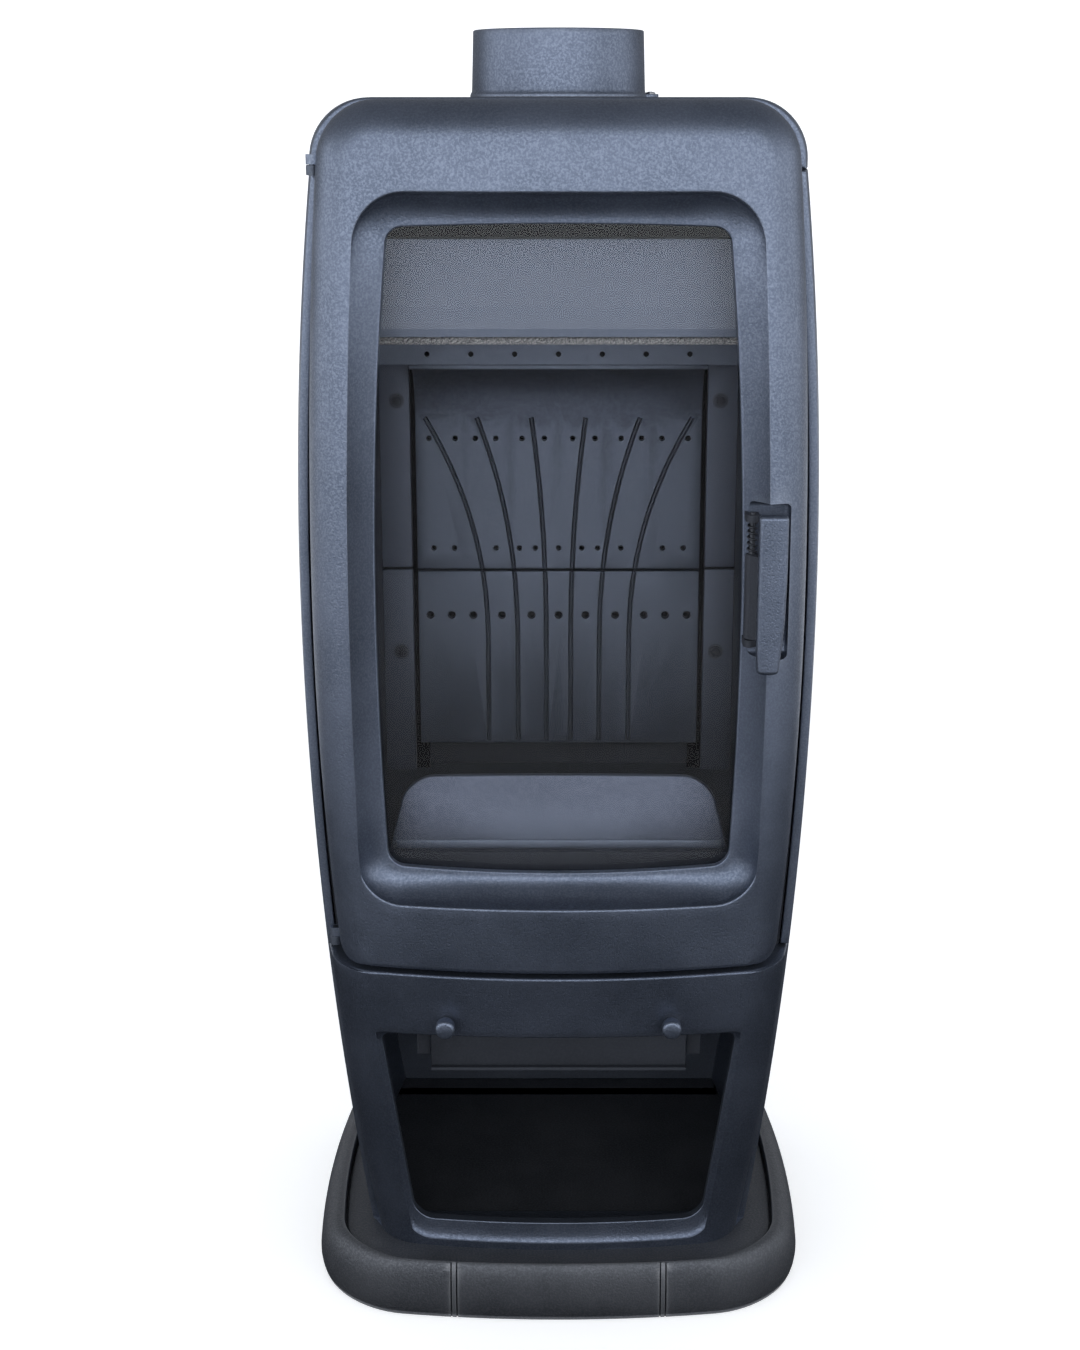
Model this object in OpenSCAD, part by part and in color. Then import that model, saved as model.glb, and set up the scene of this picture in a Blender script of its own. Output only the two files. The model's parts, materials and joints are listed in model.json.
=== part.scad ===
// Closed wood stove on a pedestal: cast body with bowed sides, glazed door, log niche and plinth.
// Millimetres, +Z up, front towards -Y, origin on the floor under the middle of the plinth.

/* [Body] */
// Half width of the body at its fullest height
body_half = 235; // [228:0.5:240]
// Reach of the door's face in front of the origin at its fullest height
front_reach = 208; // [204:0.5:212]
// Height at which the body is fullest
belly_z = 660; // [640:5:680]
// Radius of the vertical bow above the belly
upper_bow_r = 3200; // [3000:50:3600]
// Radius of the vertical bow below the belly
lower_bow_r = 3800; // [3600:50:4400]
// Radius of the front's bow, seen from above
front_plan_r = 780; // [740:10:900]
// Radius of the sides' bow, seen from above
side_plan_r = 900; // [850:10:1100]
// Distance behind the origin at which the sides are widest
side_mid_y = 35; // [25:1:45]
// Height of the top of the body
top_z = 1074; // [1066:1:1082]
// Wall of the main castings
wall = 8; // [7:0.5:9]
// Radius of the shoulders, seen from the front
shoulder_r = 50; // [44:1:54]
// Height where the top casting's skirt ends
skirt_z = 1018; // [1014:1:1020]
// Height of the joint between pedestal and body
seam_z = 336; // [332:1:340]
// Visible joint between one casting and the next
joint_gap = 1.5; // [1:0.5:2]
// Rear edge of the side castings
side_rear_y = 186; // [180:1:190]

/* [Door] */
// Distance of the door's edge inside the body's side at the belly
door_inset = 26.5; // [25:0.5:29]
// Radius of the bow of the door's edges above the belly
door_upper_r = 5400; // [5000:100:6500]
// Radius of the bow of the door's edges below the belly
door_lower_r = 3350; // [3200:50:3800]
// Gap between the door and the castings below and above it
door_gap = 3.5; // [2.5:0.5:4.5]
// Plane of the door's back
door_back_y = -124; // [-126:0.5:-123]
// Rounding of the door's long edges
door_edge_r = 30; // [26:1:32]
// Radius of the door's upper corners
door_corner_r = 46; // [42:1:50]
// Radius of the door's lower corners
door_foot_r = 14; // [10:1:18]
// Rounding of the door's foot edge
foot_round = 5; // [3:0.5:6]
// Width of the door's stile outside the scooped recess
stile_w = 34.5; // [33.5:0.5:36]
// Top of the recess
recess_top = 1001; // [996:1:1005]
// Foot of the recess
recess_foot = 402; // [398:1:406]
// Width of the scoop between the recess's edge and the glass opening
scoop_w = 20; // [18:0.5:23]
// Top of the glass opening at its corners
glass_top = 973; // [968:1:976]
// Foot of the glass opening at its corners
glass_foot = 430; // [426:1:434]
// Plane of the flat land round the glass
land_y = -162; // [-164:0.5:-160]
// Thickness of the land
land_t = 6; // [5:0.5:7]
// Thickness of the glass
glass_t = 4; // [4:0.5:5]
// Overlap of the glass behind the land
glass_lap = 12; // [10:0.5:13]

/* [Hinge and latch] */
// Hinge axis, distance inside the body's side at the belly
hinge_inset = 35.5; // [34.5:0.5:36]
// Hinge axis, distance in front of the origin
hinge_y = -131; // [-132:0.5:-130.5]
// Radius of a hinge knuckle
knuckle_r = 5; // [4.75:0.25:5]
// Radius of the hinge and handle pins
pin_r = 2.5; // [2.25:0.25:2.75]
// Clearance of a pin in its knuckle
pin_clear = 0.06; // [0.04:0.01:0.1]
// Handle pin, distance inside the door's edge
grip_inset = 48.5; // [47.5:0.5:49.5]
// Handle pin, distance in front of the origin
grip_pin_y = -178; // [-179:0.5:-177]
// Top of the handle blade
blade_top = 746; // [742:1:750]
// Length of the handle blade
blade_len = 134; // [128:1:138]
// Width of the handle blade at its top
blade_w = 24; // [22:0.5:24.5]
// Width of the handle blade at its foot
blade_foot_w = 17.6; // [15:0.2:19]
// Thickness of the handle blade
blade_t = 9; // [7:0.5:10]

/* [Pedestal] */
// Plan radius of the lower casting's front corners
low_corner_r = 36; // [32:1:40]
// Rear plane of the lower front casting
low_back_y = -104; // [-108:1:-100]
// Width of casting beside the niche opening, halfway up
niche_inset = 90; // [87:0.5:94]
// Outward lean of the niche's sides, width gained per unit of height
niche_lean = 0.134; // [0.12:0.002:0.15]
// Top of the niche opening
niche_top = 272; // [270:1:274]
// Foot of the niche opening
niche_foot = 76; // [74:1:78]
// Height of the sloping sill below the niche opening
sill_h = 19; // [16:1:20]
// Distance of the plinth's side inside the body's fullest side
plinth_inset = 5; // [1:1:9]
// Half depth of the plinth
plinth_deep = 200; // [196:1:204]
// Height of the plinth
plinth_h = 56; // [52:1:58]
// Radius of the plinth's front corners
plinth_corner_r = 75; // [70:1:80]
// Radius of the plinth's rear corners
plinth_rear_r = 60; // [56:1:64]
// Width of the plinth's rim beside the dais
rim_side = 26; // [24:1:30]
// Width of the plinth's rim before and behind the dais
rim_front = 11; // [10:1:14]
// Height of the dais
dais_z = 50; // [48:0.5:51]
// Gap round the dais
dais_gap = 2.5; // [2:0.5:3]

/* [Firebox] */
// Distance of the side liners' faces inside the body's fullest side
fire_inset = 63; // [62:0.5:67]
// Thickness of liners and back plates
liner_t = 8; // [7:0.5:8]
// Height of the hearth
hearth_z = 425; // [422:1:426]
// Thickness of the hearth plate
hearth_t = 12; // [10:0.5:14]
// Front of the fluted back plates
back_y = 111; // [108:1:114]
// Height of the joint between the back plates
back_seam_z = 632; // [626:1:638]
// Height where the upper back plate starts to curve forward
curl_z = 785; // [780:1:790]
// Radius of that curve
curl_r = 50; // [46:1:54]
// Width of the strip beside the fluted panel
strip_w = 35; // [33:0.5:38]
// Front of the baffle
baffle_y = 38; // [34:1:42]
// Height of the baffle
baffle_h = 19; // [16:1:22]
// Foot of the air wash plate
wash_foot = 880; // [874:1:884]
// Height of the air wash plate
wash_h = 81; // [76:1:84]
// Height of the log guard
guard_h = 67; // [60:1:72]

/* [Ash pan and air controls] */
// Distance of the ash pan's side inside the side liners' faces
pan_inset = 55; // [52:1:62]
// Foot of the ash pan
pan_foot = 214; // [210:1:218]
// Top of the ash pan
pan_top = 266; // [262:1:268]
// Front of the ash pan
pan_front_y = -118; // [-122:1:-114]
// Length of the ash pan
pan_len = 215; // [205:1:225]
// Sheet thickness of pan, box and rails
sheet = 3; // [2:0.5:3]
// Distance of each air control from the middle
control_x = 99; // [95:1:103]
// Height of the air controls
control_z = 290; // [288:1:293]
// Radius of the air control rods
rod_r = 4; // [3.5:0.25:4.5]
// Radius of the air control knobs
knob_r = 8.5; // [8:0.25:9.5]
// Travel of the air controls
control_travel = 28; // [22:1:28]

/* [Flue] */
// Radius of the flue spigot at its top
flue_r = 75; // [70:0.5:75]
// Wall of the flue spigot
flue_wall = 4; // [3.5:0.5:5]
// Height of the flue spigot above the body
flue_h = 57; // [50:1:60]
// Distance of the flue behind the origin
flue_y = 45; // [40:1:50]
// Radius of the screws that hold plates and covers
screw_r = 2.5; // [2:0.25:3]

/* [Hidden] */

// widths that follow the body
door_half = body_half - door_inset;
recess_half = door_half - stile_w;
glass_half = recess_half - scoop_w;
hinge_x = body_half - hinge_inset;
grip_pin_x = door_half - grip_inset;
niche_half = body_half - niche_inset;
plinth_half = body_half - plinth_inset;
dais_half = plinth_half - rim_side;
dais_deep = plinth_deep - rim_front;
fire_half = body_half - fire_inset;
flute_half = fire_half - strip_w;
pan_half = fire_half - pan_inset;
// running gap between pieces that move past each other
slip = 0.3;
// front of the handle blade, the foremost point of the stove
blade_y = -204;
corner_n = 4;
side_n = 8;
edge_n = 8;
iron = "#4a5060";
dark_iron = "#33363f";
steel_grey = "#6a6f78";
rope_white = "#b9b4a8";

// Bow of the body: how far its walls have drawn in at a height
function taper(z) = (z - belly_z)^2 / (2 * (z > belly_z ? upper_bow_r : lower_bow_r));
function front_y(x, z) = -front_reach + taper(z) + x^2 / (2 * front_plan_r);
function side_x(y, z) = body_half - taper(z) - (y - side_mid_y)^2 / (2 * side_plan_r);
function bow(z, full, up_r, low_r) = full - (z - belly_z)^2 / (2 * (z > belly_z ? up_r : low_r));
function door_x(z) = bow(z, door_half, door_upper_r, door_lower_r);
function niche_x(z) = niche_half + niche_lean * (z - (niche_top + niche_foot) / 2);

// Closed outline, anticlockwise from the right end of the foot edge. half(v) gives the half width at v.
function outline(half, foot, top, foot_r, top_r, foot_crown = 0, top_crown = 0, n = corner_n) =
  let (
    right = concat(
      [for (i = [0 : n]) let (a = 90 * i / n, v = foot + foot_r * (1 - cos(a)))
        [half(v) - foot_r * (1 - sin(a)), v]],
      [for (i = [1 : side_n - 1]) let (v = foot + foot_r + (top - top_r - foot - foot_r) * i / side_n)
        [half(v), v]],
      [for (i = [0 : n]) let (a = 90 * i / n, v = top - top_r * (1 - sin(a)))
        [half(v) - top_r * (1 - cos(a)), v]]),
    count = len(right),
    x_top = right[count - 1].x,
    x_foot = right[0].x,
    ring = concat(
      right,
      [for (i = [1 : edge_n - 1]) [x_top * (1 - 2 * i / edge_n), top]],
      [for (i = [count - 1 : -1 : 0]) [-right[i].x, right[i].y]],
      [for (i = [1 : edge_n - 1]) [x_foot * (2 * i / edge_n - 1), foot]]))
  [for (p = ring) let (u = 1 - (p.x / half(p.y))^2)
    [p.x, p.y + (p.y > (foot + top) / 2 ? top_crown : -foot_crown) * u]];

// Outline in the XZ plane carried to the depths that depth(x, z) gives
function upright(loop, depth) = [for (p = loop) [p.x, depth(p.x, p.y), p.y]];
function mix_loops(a, b, t) = [for (i = [0 : len(a) - 1]) a[i] * (1 - t) + b[i] * t];

// Triangles between stacked loops; rings that are closed on themselves have no caps
function band_faces(n, m0, m1) =
  [for (i = [0 : n - 1], f = [0, 1])
    let (j = (i + 1) % n, a = m0 * n + i, b = m0 * n + j, c = m1 * n + j, d = m1 * n + i)
    f == 0 ? [a, d, c] : [a, c, b]];

module loft(loops) {
  n = len(loops[0]);
  m = len(loops);
  polyhedron(
    points = [for (l = loops, p = l) p],
    faces = concat(
      [for (k = [0 : m - 2], f = band_faces(n, k, k + 1)) f],
      [[for (i = [0 : n - 1]) i]],
      [[for (i = [n - 1 : -1 : 0]) (m - 1) * n + i]]));
}

module ring(loops) {
  n = len(loops[0]);
  m = len(loops);
  polyhedron(
    points = [for (l = loops, p = l) p],
    faces = [for (k = [0 : m - 1], f = band_faces(n, k, (k + 1) % m)) f]);
}

// Plate standing in the XZ plane, its front at y and its back at y + t
module upright_plate(points, y, t) {
  translate([0, y + t, 0]) rotate([90, 0, 0]) linear_extrude(t) polygon(points);
}

// Box from its lowest to its highest corner
module block(low, high) {
  translate(low) cube(high - low);
}

// Cylinder along Y from y0 to y1
module rod_y(x, z, r, y0, y1, sides = 48) {
  translate([x, y0, z]) rotate([-90, 0, 0]) cylinder(r = r, h = y1 - y0, $fn = sides);
}

module mirrored() {
  mirror([1, 0, 0]) children();
}

// Plinth

// Plan with a bowed front and sides and a straight rear edge
function plan_loop(half, deep, front_r, rear_r, grow) =
  let (sag = (half * 0.86)^2 / (2 * 900))
  outline(function(v) half + grow - v^2 / (2 * 1300), -(deep + grow - sag), deep + grow,
    front_r + grow, rear_r + grow, sag, 0, 9);
function plinth_loop(grow) = plan_loop(plinth_half, plinth_deep, plinth_corner_r, plinth_rear_r, grow);
function dais_loop(grow) = plan_loop(dais_half, dais_deep, plinth_corner_r - 15, dais_rear_r, grow);
function at_height(loop, z) = [for (p = loop) [p.x, p.y, z]];

// tight enough that the body's square rear corners stand on the dais
dais_rear_r = 25;
plinth_rim = dais_loop(dais_gap);
plinth_outer = plinth_loop(0);
bulge_z = plinth_h * 0.42;
ledge_z = dais_z - 9;
groove_x = plinth_half * 0.413;
groove_deep = 11;

module plinth() {
  lower = [for (a = [-50 : 25 : -25])
    at_height(plinth_loop(-14 * (1 - cos(a))), bulge_z * (1 + sin(a) / sin(50)))];
  upper = [for (a = [0 : 15 : 90]) at_height(mix_loops(plinth_outer, plinth_rim, 1 - cos(a)),
    bulge_z + (plinth_h - bulge_z) * sin(a))];
  inside = [
    at_height(plinth_rim, ledge_z),
    at_height(dais_loop(-14), ledge_z),
    at_height(dais_loop(-14), ledge_z - wall),
    at_height(dais_loop(0), ledge_z - wall),
    at_height(dais_loop(0), 0)
  ];
  color(iron) difference() {
    ring(concat(lower, upper, inside));
    for (s = [-1, 1], d = [-2.5, 2.5])
      translate([s * groove_x + d, -plinth_deep, plinth_h / 2])
        cube([1.4, 2 * groove_deep, plinth_h + 2], center = true);
  }
}

module base_plate() {
  color(iron) loft([
    at_height(dais_loop(0), ledge_z),
    at_height(dais_loop(0), dais_z)]);
}

// Pedestal

function side_wrap(x, half, r) = let (s = max(0, min(r, abs(x) - (half - r)))) r - sqrt(r^2 - s^2);
function low_x(z) = side_x(-135, z) - 1.5;
function low_half(z, y, inset) = side_x(y, z) - inset;
low_edge = 3;

// Loop of the lower casting at a step of its corner rounding, a = 0 at the side, 90 on the face
function low_front_loop(a) =
  let (inset = low_corner_r * (1 - cos(a)), small = low_edge * (1 - cos(a)))
  upright(
    outline(function(v) low_x(v) - inset, dais_z, seam_z - small, 2, 3),
    function(x, z) front_y(x, z) + side_wrap(x, low_x(z), low_corner_r)
      + low_edge * (1 - sin(a)) * max(0, 1 - (seam_z - z) / 6));

module lower_front() {
  niche = outline(function(v) niche_x(v), niche_foot, niche_top, 17, 8, 0, 2);
  bevel = outline(function(v) niche_x(v) + 8, niche_foot - sill_h, niche_top + 4, 22, 11, 0, 2);
  inner = outline(function(v) low_half(v, low_back_y, wall), dais_z + wall, seam_z - wall, 2, 3);
  inner_front = outline(function(v) low_x(v) - wall - 4, dais_z + wall, seam_z - wall, 2, 3);
  inner_face = outline(function(v) low_x(v) - low_corner_r - 2, dais_z + wall + 1, seam_z - wall - 1,
    2, 3);
  rings = concat(
    [upright(outline(function(v) side_x(low_back_y, v), dais_z, seam_z, 2, 3), function(x, z) low_back_y)],
    [for (a = [0 : 18 : 90]) low_front_loop(a)],
    [
      upright(bevel, function(x, z) front_y(x, z)),
      upright(mix_loops(bevel, niche, 0.35), function(x, z) front_y(x, z) + 4),
      upright(niche, function(x, z) front_y(x, z) + 7),
      upright(niche, function(x, z) front_y(x, z) + 16),
      upright(inner_face, function(x, z) front_y(x, z) + wall + 1),
      upright(inner_front, function(x, z) front_y(x, z) + low_corner_r - wall),
      upright(inner, function(x, z) low_back_y)
    ]);
  color(iron) difference() {
    union() {
      ring(rings);
      for (z = lug_z, s = [-1, 1]) let (x = s * (side_x(lug_y, z) - wall - 15))
        block([x - 8, front_y(x, z) + 22, z - 8], [x + 8, low_back_y, z + 8]);
    }
    for (s = [-1, 1]) rod_y(s * control_x, control_z, rod_r + slip, -front_reach, low_back_y);
    for (z = lug_z, s = [-1, 1])
      rod_y(s * (side_x(lug_y, z) - wall - 15), z, screw_r + 0.1, low_back_y - 9, low_back_y + 1, 32);
  }
}

// Right side casting between two heights, front edge at y0 and softened by 2.5
module side_casting(y0, z0, z1, steps) {
  n = 9;
  ys = concat([y0, y0 + 2.5], [for (i = [1 : n]) y0 + (side_rear_y - y0) * i / n]);
  loft([for (k = [0 : steps]) let (z = z0 + (z1 - z0) * k / steps) concat(
    [for (y = ys) [side_x(y, z) - (y == y0 ? 2.5 : 0), y, z]],
    [for (i = [n + 1 : -1 : 0]) [side_x(ys[i], z) - wall, ys[i], z]])]);
}

// Lugs inside the pedestal where the lower front is screwed on, one above the other
lug_z = [110, 200];
lug_y = low_back_y + slip + 2;

module pedestal_side_right() {
  color(iron) difference() {
    union() {
      side_casting(low_back_y + slip, dais_z, mid_z0, 6);
      for (z = lug_z)
        block([side_x(lug_y, z) - wall - 26, lug_y, z - 9], [side_x(lug_y, z) - 4, lug_y + 12, z + 9]);
    }
    for (z = lug_z) rod_y(side_x(lug_y, z) - wall - 15, z, screw_r + 0.6, lug_y - 1, lug_y + 13, 32);
  }
}

// Screws from inside the niche into bosses on the lower front's back
module front_screws() {
  color(steel_grey) for (z = lug_z, s = [-1, 1]) let (x = s * (side_x(lug_y, z) - wall - 15)) union() {
    rod_y(x, z, screw_r, low_back_y - 8, lug_y + 12);
    rod_y(x, z, 5.5, lug_y + 12, lug_y + 17, 6);
  }
}

module pedestal_side_left() {
  mirrored() pedestal_side_right();
}

mid_z0 = seam_z - 8;
mid_z1 = seam_z + 2;
box_half = fire_half - 30;
box_y0 = -96;
box_y1 = 114;

module mid_plate() {
  n = 8;
  points = concat(
    [for (i = [0 : n]) let (y = low_back_y + slip + (side_rear_y - low_back_y - slip) * i / n)
      [side_x(y, seam_z) - 2.5, y]],
    [for (i = [n : -1 : 0]) let (y = low_back_y + slip + (side_rear_y - low_back_y - slip) * i / n)
      [-side_x(y, seam_z) + 2.5, y]]);
  color(dark_iron) difference() {
    translate([0, 0, mid_z0]) linear_extrude(mid_z1 - mid_z0) polygon(points);
    block([-box_half - 0.5, box_y0 - 0.5, mid_z0 - 1], [box_half + 0.5, box_y1 + 0.5, mid_z1 + 1]);
    for (p = rod_places, s = [-1, 1])
      translate([s * p.x, p.y, mid_z0 - 1]) cylinder(r = 3.1, h = 12, $fn = 48);
  }
}

// Upper body

panel_front_y = door_back_y + 3;
panel_z0 = mid_z1;

module side_panel_right() {
  color(iron) side_casting(panel_front_y, panel_z0, skirt_z - joint_gap, 12);
}

module side_panel_left() {
  mirrored() side_panel_right();
}

// Arch of the top casting at a depth y: outside from right to left, then back along the inside
function arch(y, inset) =
  let (w = side_x(y, skirt_z) - inset, r = shoulder_r - inset, top = top_z - inset)
  concat(
    [[w, skirt_z]],
    [for (a = [0 : 15 : 90]) [w - r * (1 - cos(a)), top - r * (1 - sin(a))]],
    [for (a = [90 : -15 : 0]) [-w + r * (1 - cos(a)), top - r * (1 - sin(a))]],
    [[-w, skirt_z]]);
// Section of the top casting, begun on the shoulder so that both caps start on a convex corner
function arch_loop(y) =
  let (o = arch(y, 0), i = arch(y, wall), n = len(o),
    all = concat(o, [for (k = [n - 1 : -1 : 0]) i[k]]))
  [for (k = [0 : 2 * n - 1]) let (p = all[(k + 5) % (2 * n)]) [p.x, y, p.y]];

flue_bolt_pcd = 2 * (flue_r + 6.5);
// ears of the collar, degrees from the right; two of them lie behind it
ear_turns = [0, 70, 140];
ear_t = 2.5;
collar_foot = top_z + 1;

module top_plate() {
  n = 7;
  color(iron) difference() {
    union() {
      loft([for (i = [n : -1 : 0]) arch_loop(panel_front_y + (side_rear_y - panel_front_y) * i / n)]);
      // bosses for the tie rods
      for (p = rod_places, s = [-1, 1])
        translate([s * p.x, p.y, skirt_z]) cylinder(r = 5.5, h = 27, $fn = 48);
    }
    translate([0, flue_y, top_z - 20]) cylinder(r = flue_r - flue_wall + 1.5, h = 40, $fn = 96);
    for (a = ear_turns) rotate_flue(a) translate([flue_bolt_pcd / 2, 0, top_z - 20])
      cylinder(r = screw_r + 0.6, h = 40, $fn = 32);
    for (p = rod_places, s = [-1, 1])
      translate([s * p.x, p.y, skirt_z - 1]) cylinder(r = 3.1, h = 21, $fn = 48);
  }
}

// Top of the firebox with the throat that leads up into the collar
throat_r = flue_r - flue_wall - 0.6;
box_top_z = 1036;

module firebox_top() {
  color(dark_iron) difference() {
    union() {
      block([-wall_x1, frame_back_y, box_top_z], [wall_x1, chamber_back_y + 7, box_top_z + 5]);
      translate([0, flue_y, box_top_z]) cylinder(r = throat_r, h = top_z - 0.5 - box_top_z, $fn = 96);
    }
    translate([0, flue_y, box_top_z - 1]) cylinder(r = throat_r - 3, h = 80, $fn = 96);
  }
}

// Turns about the flue's axis
module rotate_flue(a) {
  translate([0, flue_y, 0]) rotate([0, 0, a]) children();
}

module flue_gasket() {
  color(rope_white) translate([0, flue_y, top_z]) difference() {
    cylinder(r = flue_r + 3, h = collar_foot - top_z, $fn = 96);
    translate([0, 0, -1]) cylinder(r = flue_r - flue_wall, h = 4, $fn = 96);
  }
}

module flue_collar() {
  foot_r = flue_r + 1.8;
  color(iron) difference() {
    union() {
      translate([0, flue_y, collar_foot]) rotate_extrude($fn = 96) polygon([
        [flue_r - flue_wall, 0], [foot_r, 0], [foot_r, 3], [flue_r, top_z + flue_h - collar_foot - 6],
        [flue_r, top_z + flue_h - collar_foot], [flue_r - flue_wall, top_z + flue_h - collar_foot]]);
      for (a = ear_turns) rotate_flue(a) translate([0, 0, collar_foot]) intersection() {
        translate([flue_bolt_pcd / 2 - 10, -9, 0]) cube([20, 18, ear_t]);
        translate([flue_bolt_pcd / 2 - 9, 0, 0]) cylinder(r = 16, h = ear_t, $fn = 64);
      }
    }
    translate([0, flue_y, collar_foot - 1]) cylinder(r = flue_r - flue_wall, h = flue_h + 10, $fn = 96);
    for (a = ear_turns) rotate_flue(a) translate([flue_bolt_pcd / 2, 0, collar_foot - 1])
      cylinder(r = screw_r + 0.6, h = 8, $fn = 32);
  }
}

module flue_bolts() {
  color(steel_grey) for (a = ear_turns) rotate_flue(a) translate([flue_bolt_pcd / 2, 0, 0]) union() {
    translate([0, 0, collar_foot + ear_t]) cylinder(r = screw_r * 1.7, h = 1.5, $fn = 32);
    translate([0, 0, top_z - wall]) cylinder(r = screw_r, h = collar_foot + ear_t - top_z + wall, $fn = 32);
  }
}

// Back of the stove

function rear_outline(inset, z0, z1) = concat(
  [for (i = [0 : 10]) let (z = z0 + (z1 - z0) * i / 10) [side_x(side_rear_y, z) - inset, z]],
  [for (i = [10 : -1 : 0]) let (z = z0 + (z1 - z0) * i / 10) [-side_x(side_rear_y, z) + inset, z]]);

rear_t = 3;
rear_reach = -blade_y;
shield_t = 2;
shield_y = rear_reach - shield_t - 3;
shield_x = body_half - 95;
shield_foot = plinth_h + 54;
shield_top = skirt_z - 58;
shield_z = [shield_foot + 20, (shield_foot + shield_top) / 2 - 65, shield_top - 60];

module rear_panel() {
  rim = rear_outline(3, dais_z, skirt_z - 2);
  color(dark_iron) difference() {
    upright_plate(concat([for (i = [0 : 10]) rim[i]], arch(side_rear_y, 3), [for (i = [11 : 21]) rim[i]]),
      side_rear_y, rear_t);
    for (z = shield_z, s = [-1, 1])
      rod_y(s * shield_x, z, screw_r + 0.1, side_rear_y - 1, side_rear_y + rear_t + 1);
  }
}

module rear_heat_shield() {
  color(dark_iron) difference() {
    union() {
      upright_plate(rear_outline(wall * 3.5, shield_foot, shield_top), shield_y, shield_t);
      for (s = [-1, 1]) let (x = s * (shield_x + 20))
        block([x - shield_t / 2, shield_y - 9, shield_foot + 40],
          [x + shield_t / 2, shield_y + 1, shield_top - 20]);
    }
    for (z = shield_z, s = [-1, 1])
      rod_y(s * shield_x, z, screw_r + 0.1, shield_y - 1, shield_y + shield_t + 1);
    for (k = [0 : 5]) let (z = shield_top - 260 + 24 * k)
      block([-shield_x / 2, shield_y - 1, z], [shield_x / 2, shield_y + shield_t + 1, z + 8]);
  }
}

module shield_spacers() {
  color(steel_grey) for (z = shield_z, s = [-1, 1]) difference() {
    rod_y(s * shield_x, z, 7, side_rear_y + rear_t, shield_y);
    rod_y(s * shield_x, z, screw_r + 0.1, side_rear_y + rear_t - 1, shield_y + 1);
  }
}

module shield_screws() {
  color(steel_grey) for (z = shield_z, s = [-1, 1]) union() {
    rod_y(s * shield_x, z, screw_r, side_rear_y - 6, shield_y + shield_t);
    rod_y(s * shield_x, z, 5, shield_y + shield_t, rear_reach, 6);
  }
}

// Front frame with the rope that the door's rim closes on

frame_t = 7;
frame_y = door_back_y + 7;
frame_back_y = frame_y + frame_t;
rope_r = 4.5;
rope_y = door_back_y + slip + rope_r;
// distance of the seal from the middle on the hinge side, clear of the hinge's swing
seal_left = hinge_x - 13.5;
frame_top = top_z - wall - slip;
mouth_half = fire_half + 6;
mouth_top = 1004;
mouth_foot = hearth_z;
door_top = top_z - 1.5;

function frame_x(z) = z < skirt_z ? side_x(frame_y, z) - wall - 0.5
  : side_x(frame_y, skirt_z) - wall - 0.5;
// Loop of the door's seal, e further in than the rope's middle; straight on the hinge side
function rim_loop(e) =
  [for (p = outline(function(v) min(frame_x(v) - 6, door_x(v) - 5) - e, seam_z + door_gap + 8 + e,
    frame_top - 6 - e, 14, 34 - e)) [max(p.x, -seal_left + e), p.y]];

module front_frame() {
  outer = outline(function(v) frame_x(v) - 0.4, seam_z, frame_top - 0.5, 3, shoulder_r - wall - 1);
  mouth = outline(function(v) mouth_half - taper(v) * 0.25, mouth_foot, mouth_top, 8, 26);
  groove_out = rim_loop(-rope_r - 0.2);
  groove_in = rim_loop(rope_r + 0.2);
  face = function(x, z) frame_y;
  floor_y = rope_y + rope_r + 0.2;
  color(dark_iron) difference() {
    ring([
      upright(outer, function(x, z) frame_back_y),
      upright(outer, face),
      upright(mouth, face),
      upright(mouth, function(x, z) frame_back_y)]);
    intersection() {
      ring([
        upright(groove_out, function(x, z) floor_y),
        upright(groove_out, function(x, z) frame_y - 1),
        upright(groove_in, function(x, z) frame_y - 1),
        upright(groove_in, function(x, z) floor_y)]);
      block([-body_half, frame_y - 2, seam_z + 2], [body_half, floor_y + 1, top_z]);
    }
    // way for the latch hook to swing
    block([mouth_half - 12, frame_y - 1, latch_z - 11], [hook_x + 23, frame_back_y + 1, latch_z + 11]);
  }
}

module door_seal() {
  color(rope_white) ring([for (k = [7 : -1 : 0])
    let (a = 45 * k, e = rope_r * cos(a), y = rope_y + rope_r * sin(a))
    upright(rim_loop(e), function(x, z) y)]);
}

// Firebox

wall_x0 = fire_half + liner_t + 0.5;
wall_x1 = wall_x0 + 7;
chamber_back_y = 143;

module firebox_wall(notched) {
  color(dark_iron) difference() {
    block([wall_x0, frame_back_y, mid_z1], [wall_x1, chamber_back_y, box_top_z]);
    // room for the keeper and the latch hook
    if (notched)
      block([wall_x0 - 1, frame_back_y - 1, latch_z - 24], [wall_x1 + 1, hook_clear_y, latch_z + 24]);
  }
}

module firebox_wall_right() {
  firebox_wall(true);
}

module firebox_wall_left() {
  mirrored() firebox_wall(false);
}

module firebox_back() {
  color(dark_iron) block([-wall_x1, chamber_back_y, mid_z1], [wall_x1, chamber_back_y + 7, box_top_z]);
}

grate_half = fire_half - 60;
grate_y0 = -70;
grate_y1 = 76;
grate_t = 8;

module hearth_plate() {
  color(dark_iron) difference() {
    block([-wall_x0, frame_back_y, hearth_z - hearth_t], [wall_x0, chamber_back_y, hearth_z]);
    block([-grate_half, grate_y0, hearth_z - grate_t], [grate_half, grate_y1, hearth_z + 1]);
    block([-grate_half + 8, grate_y0 + 8, hearth_z - hearth_t - 1], [grate_half - 8, grate_y1 - 8, hearth_z]);
  }
}

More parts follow.
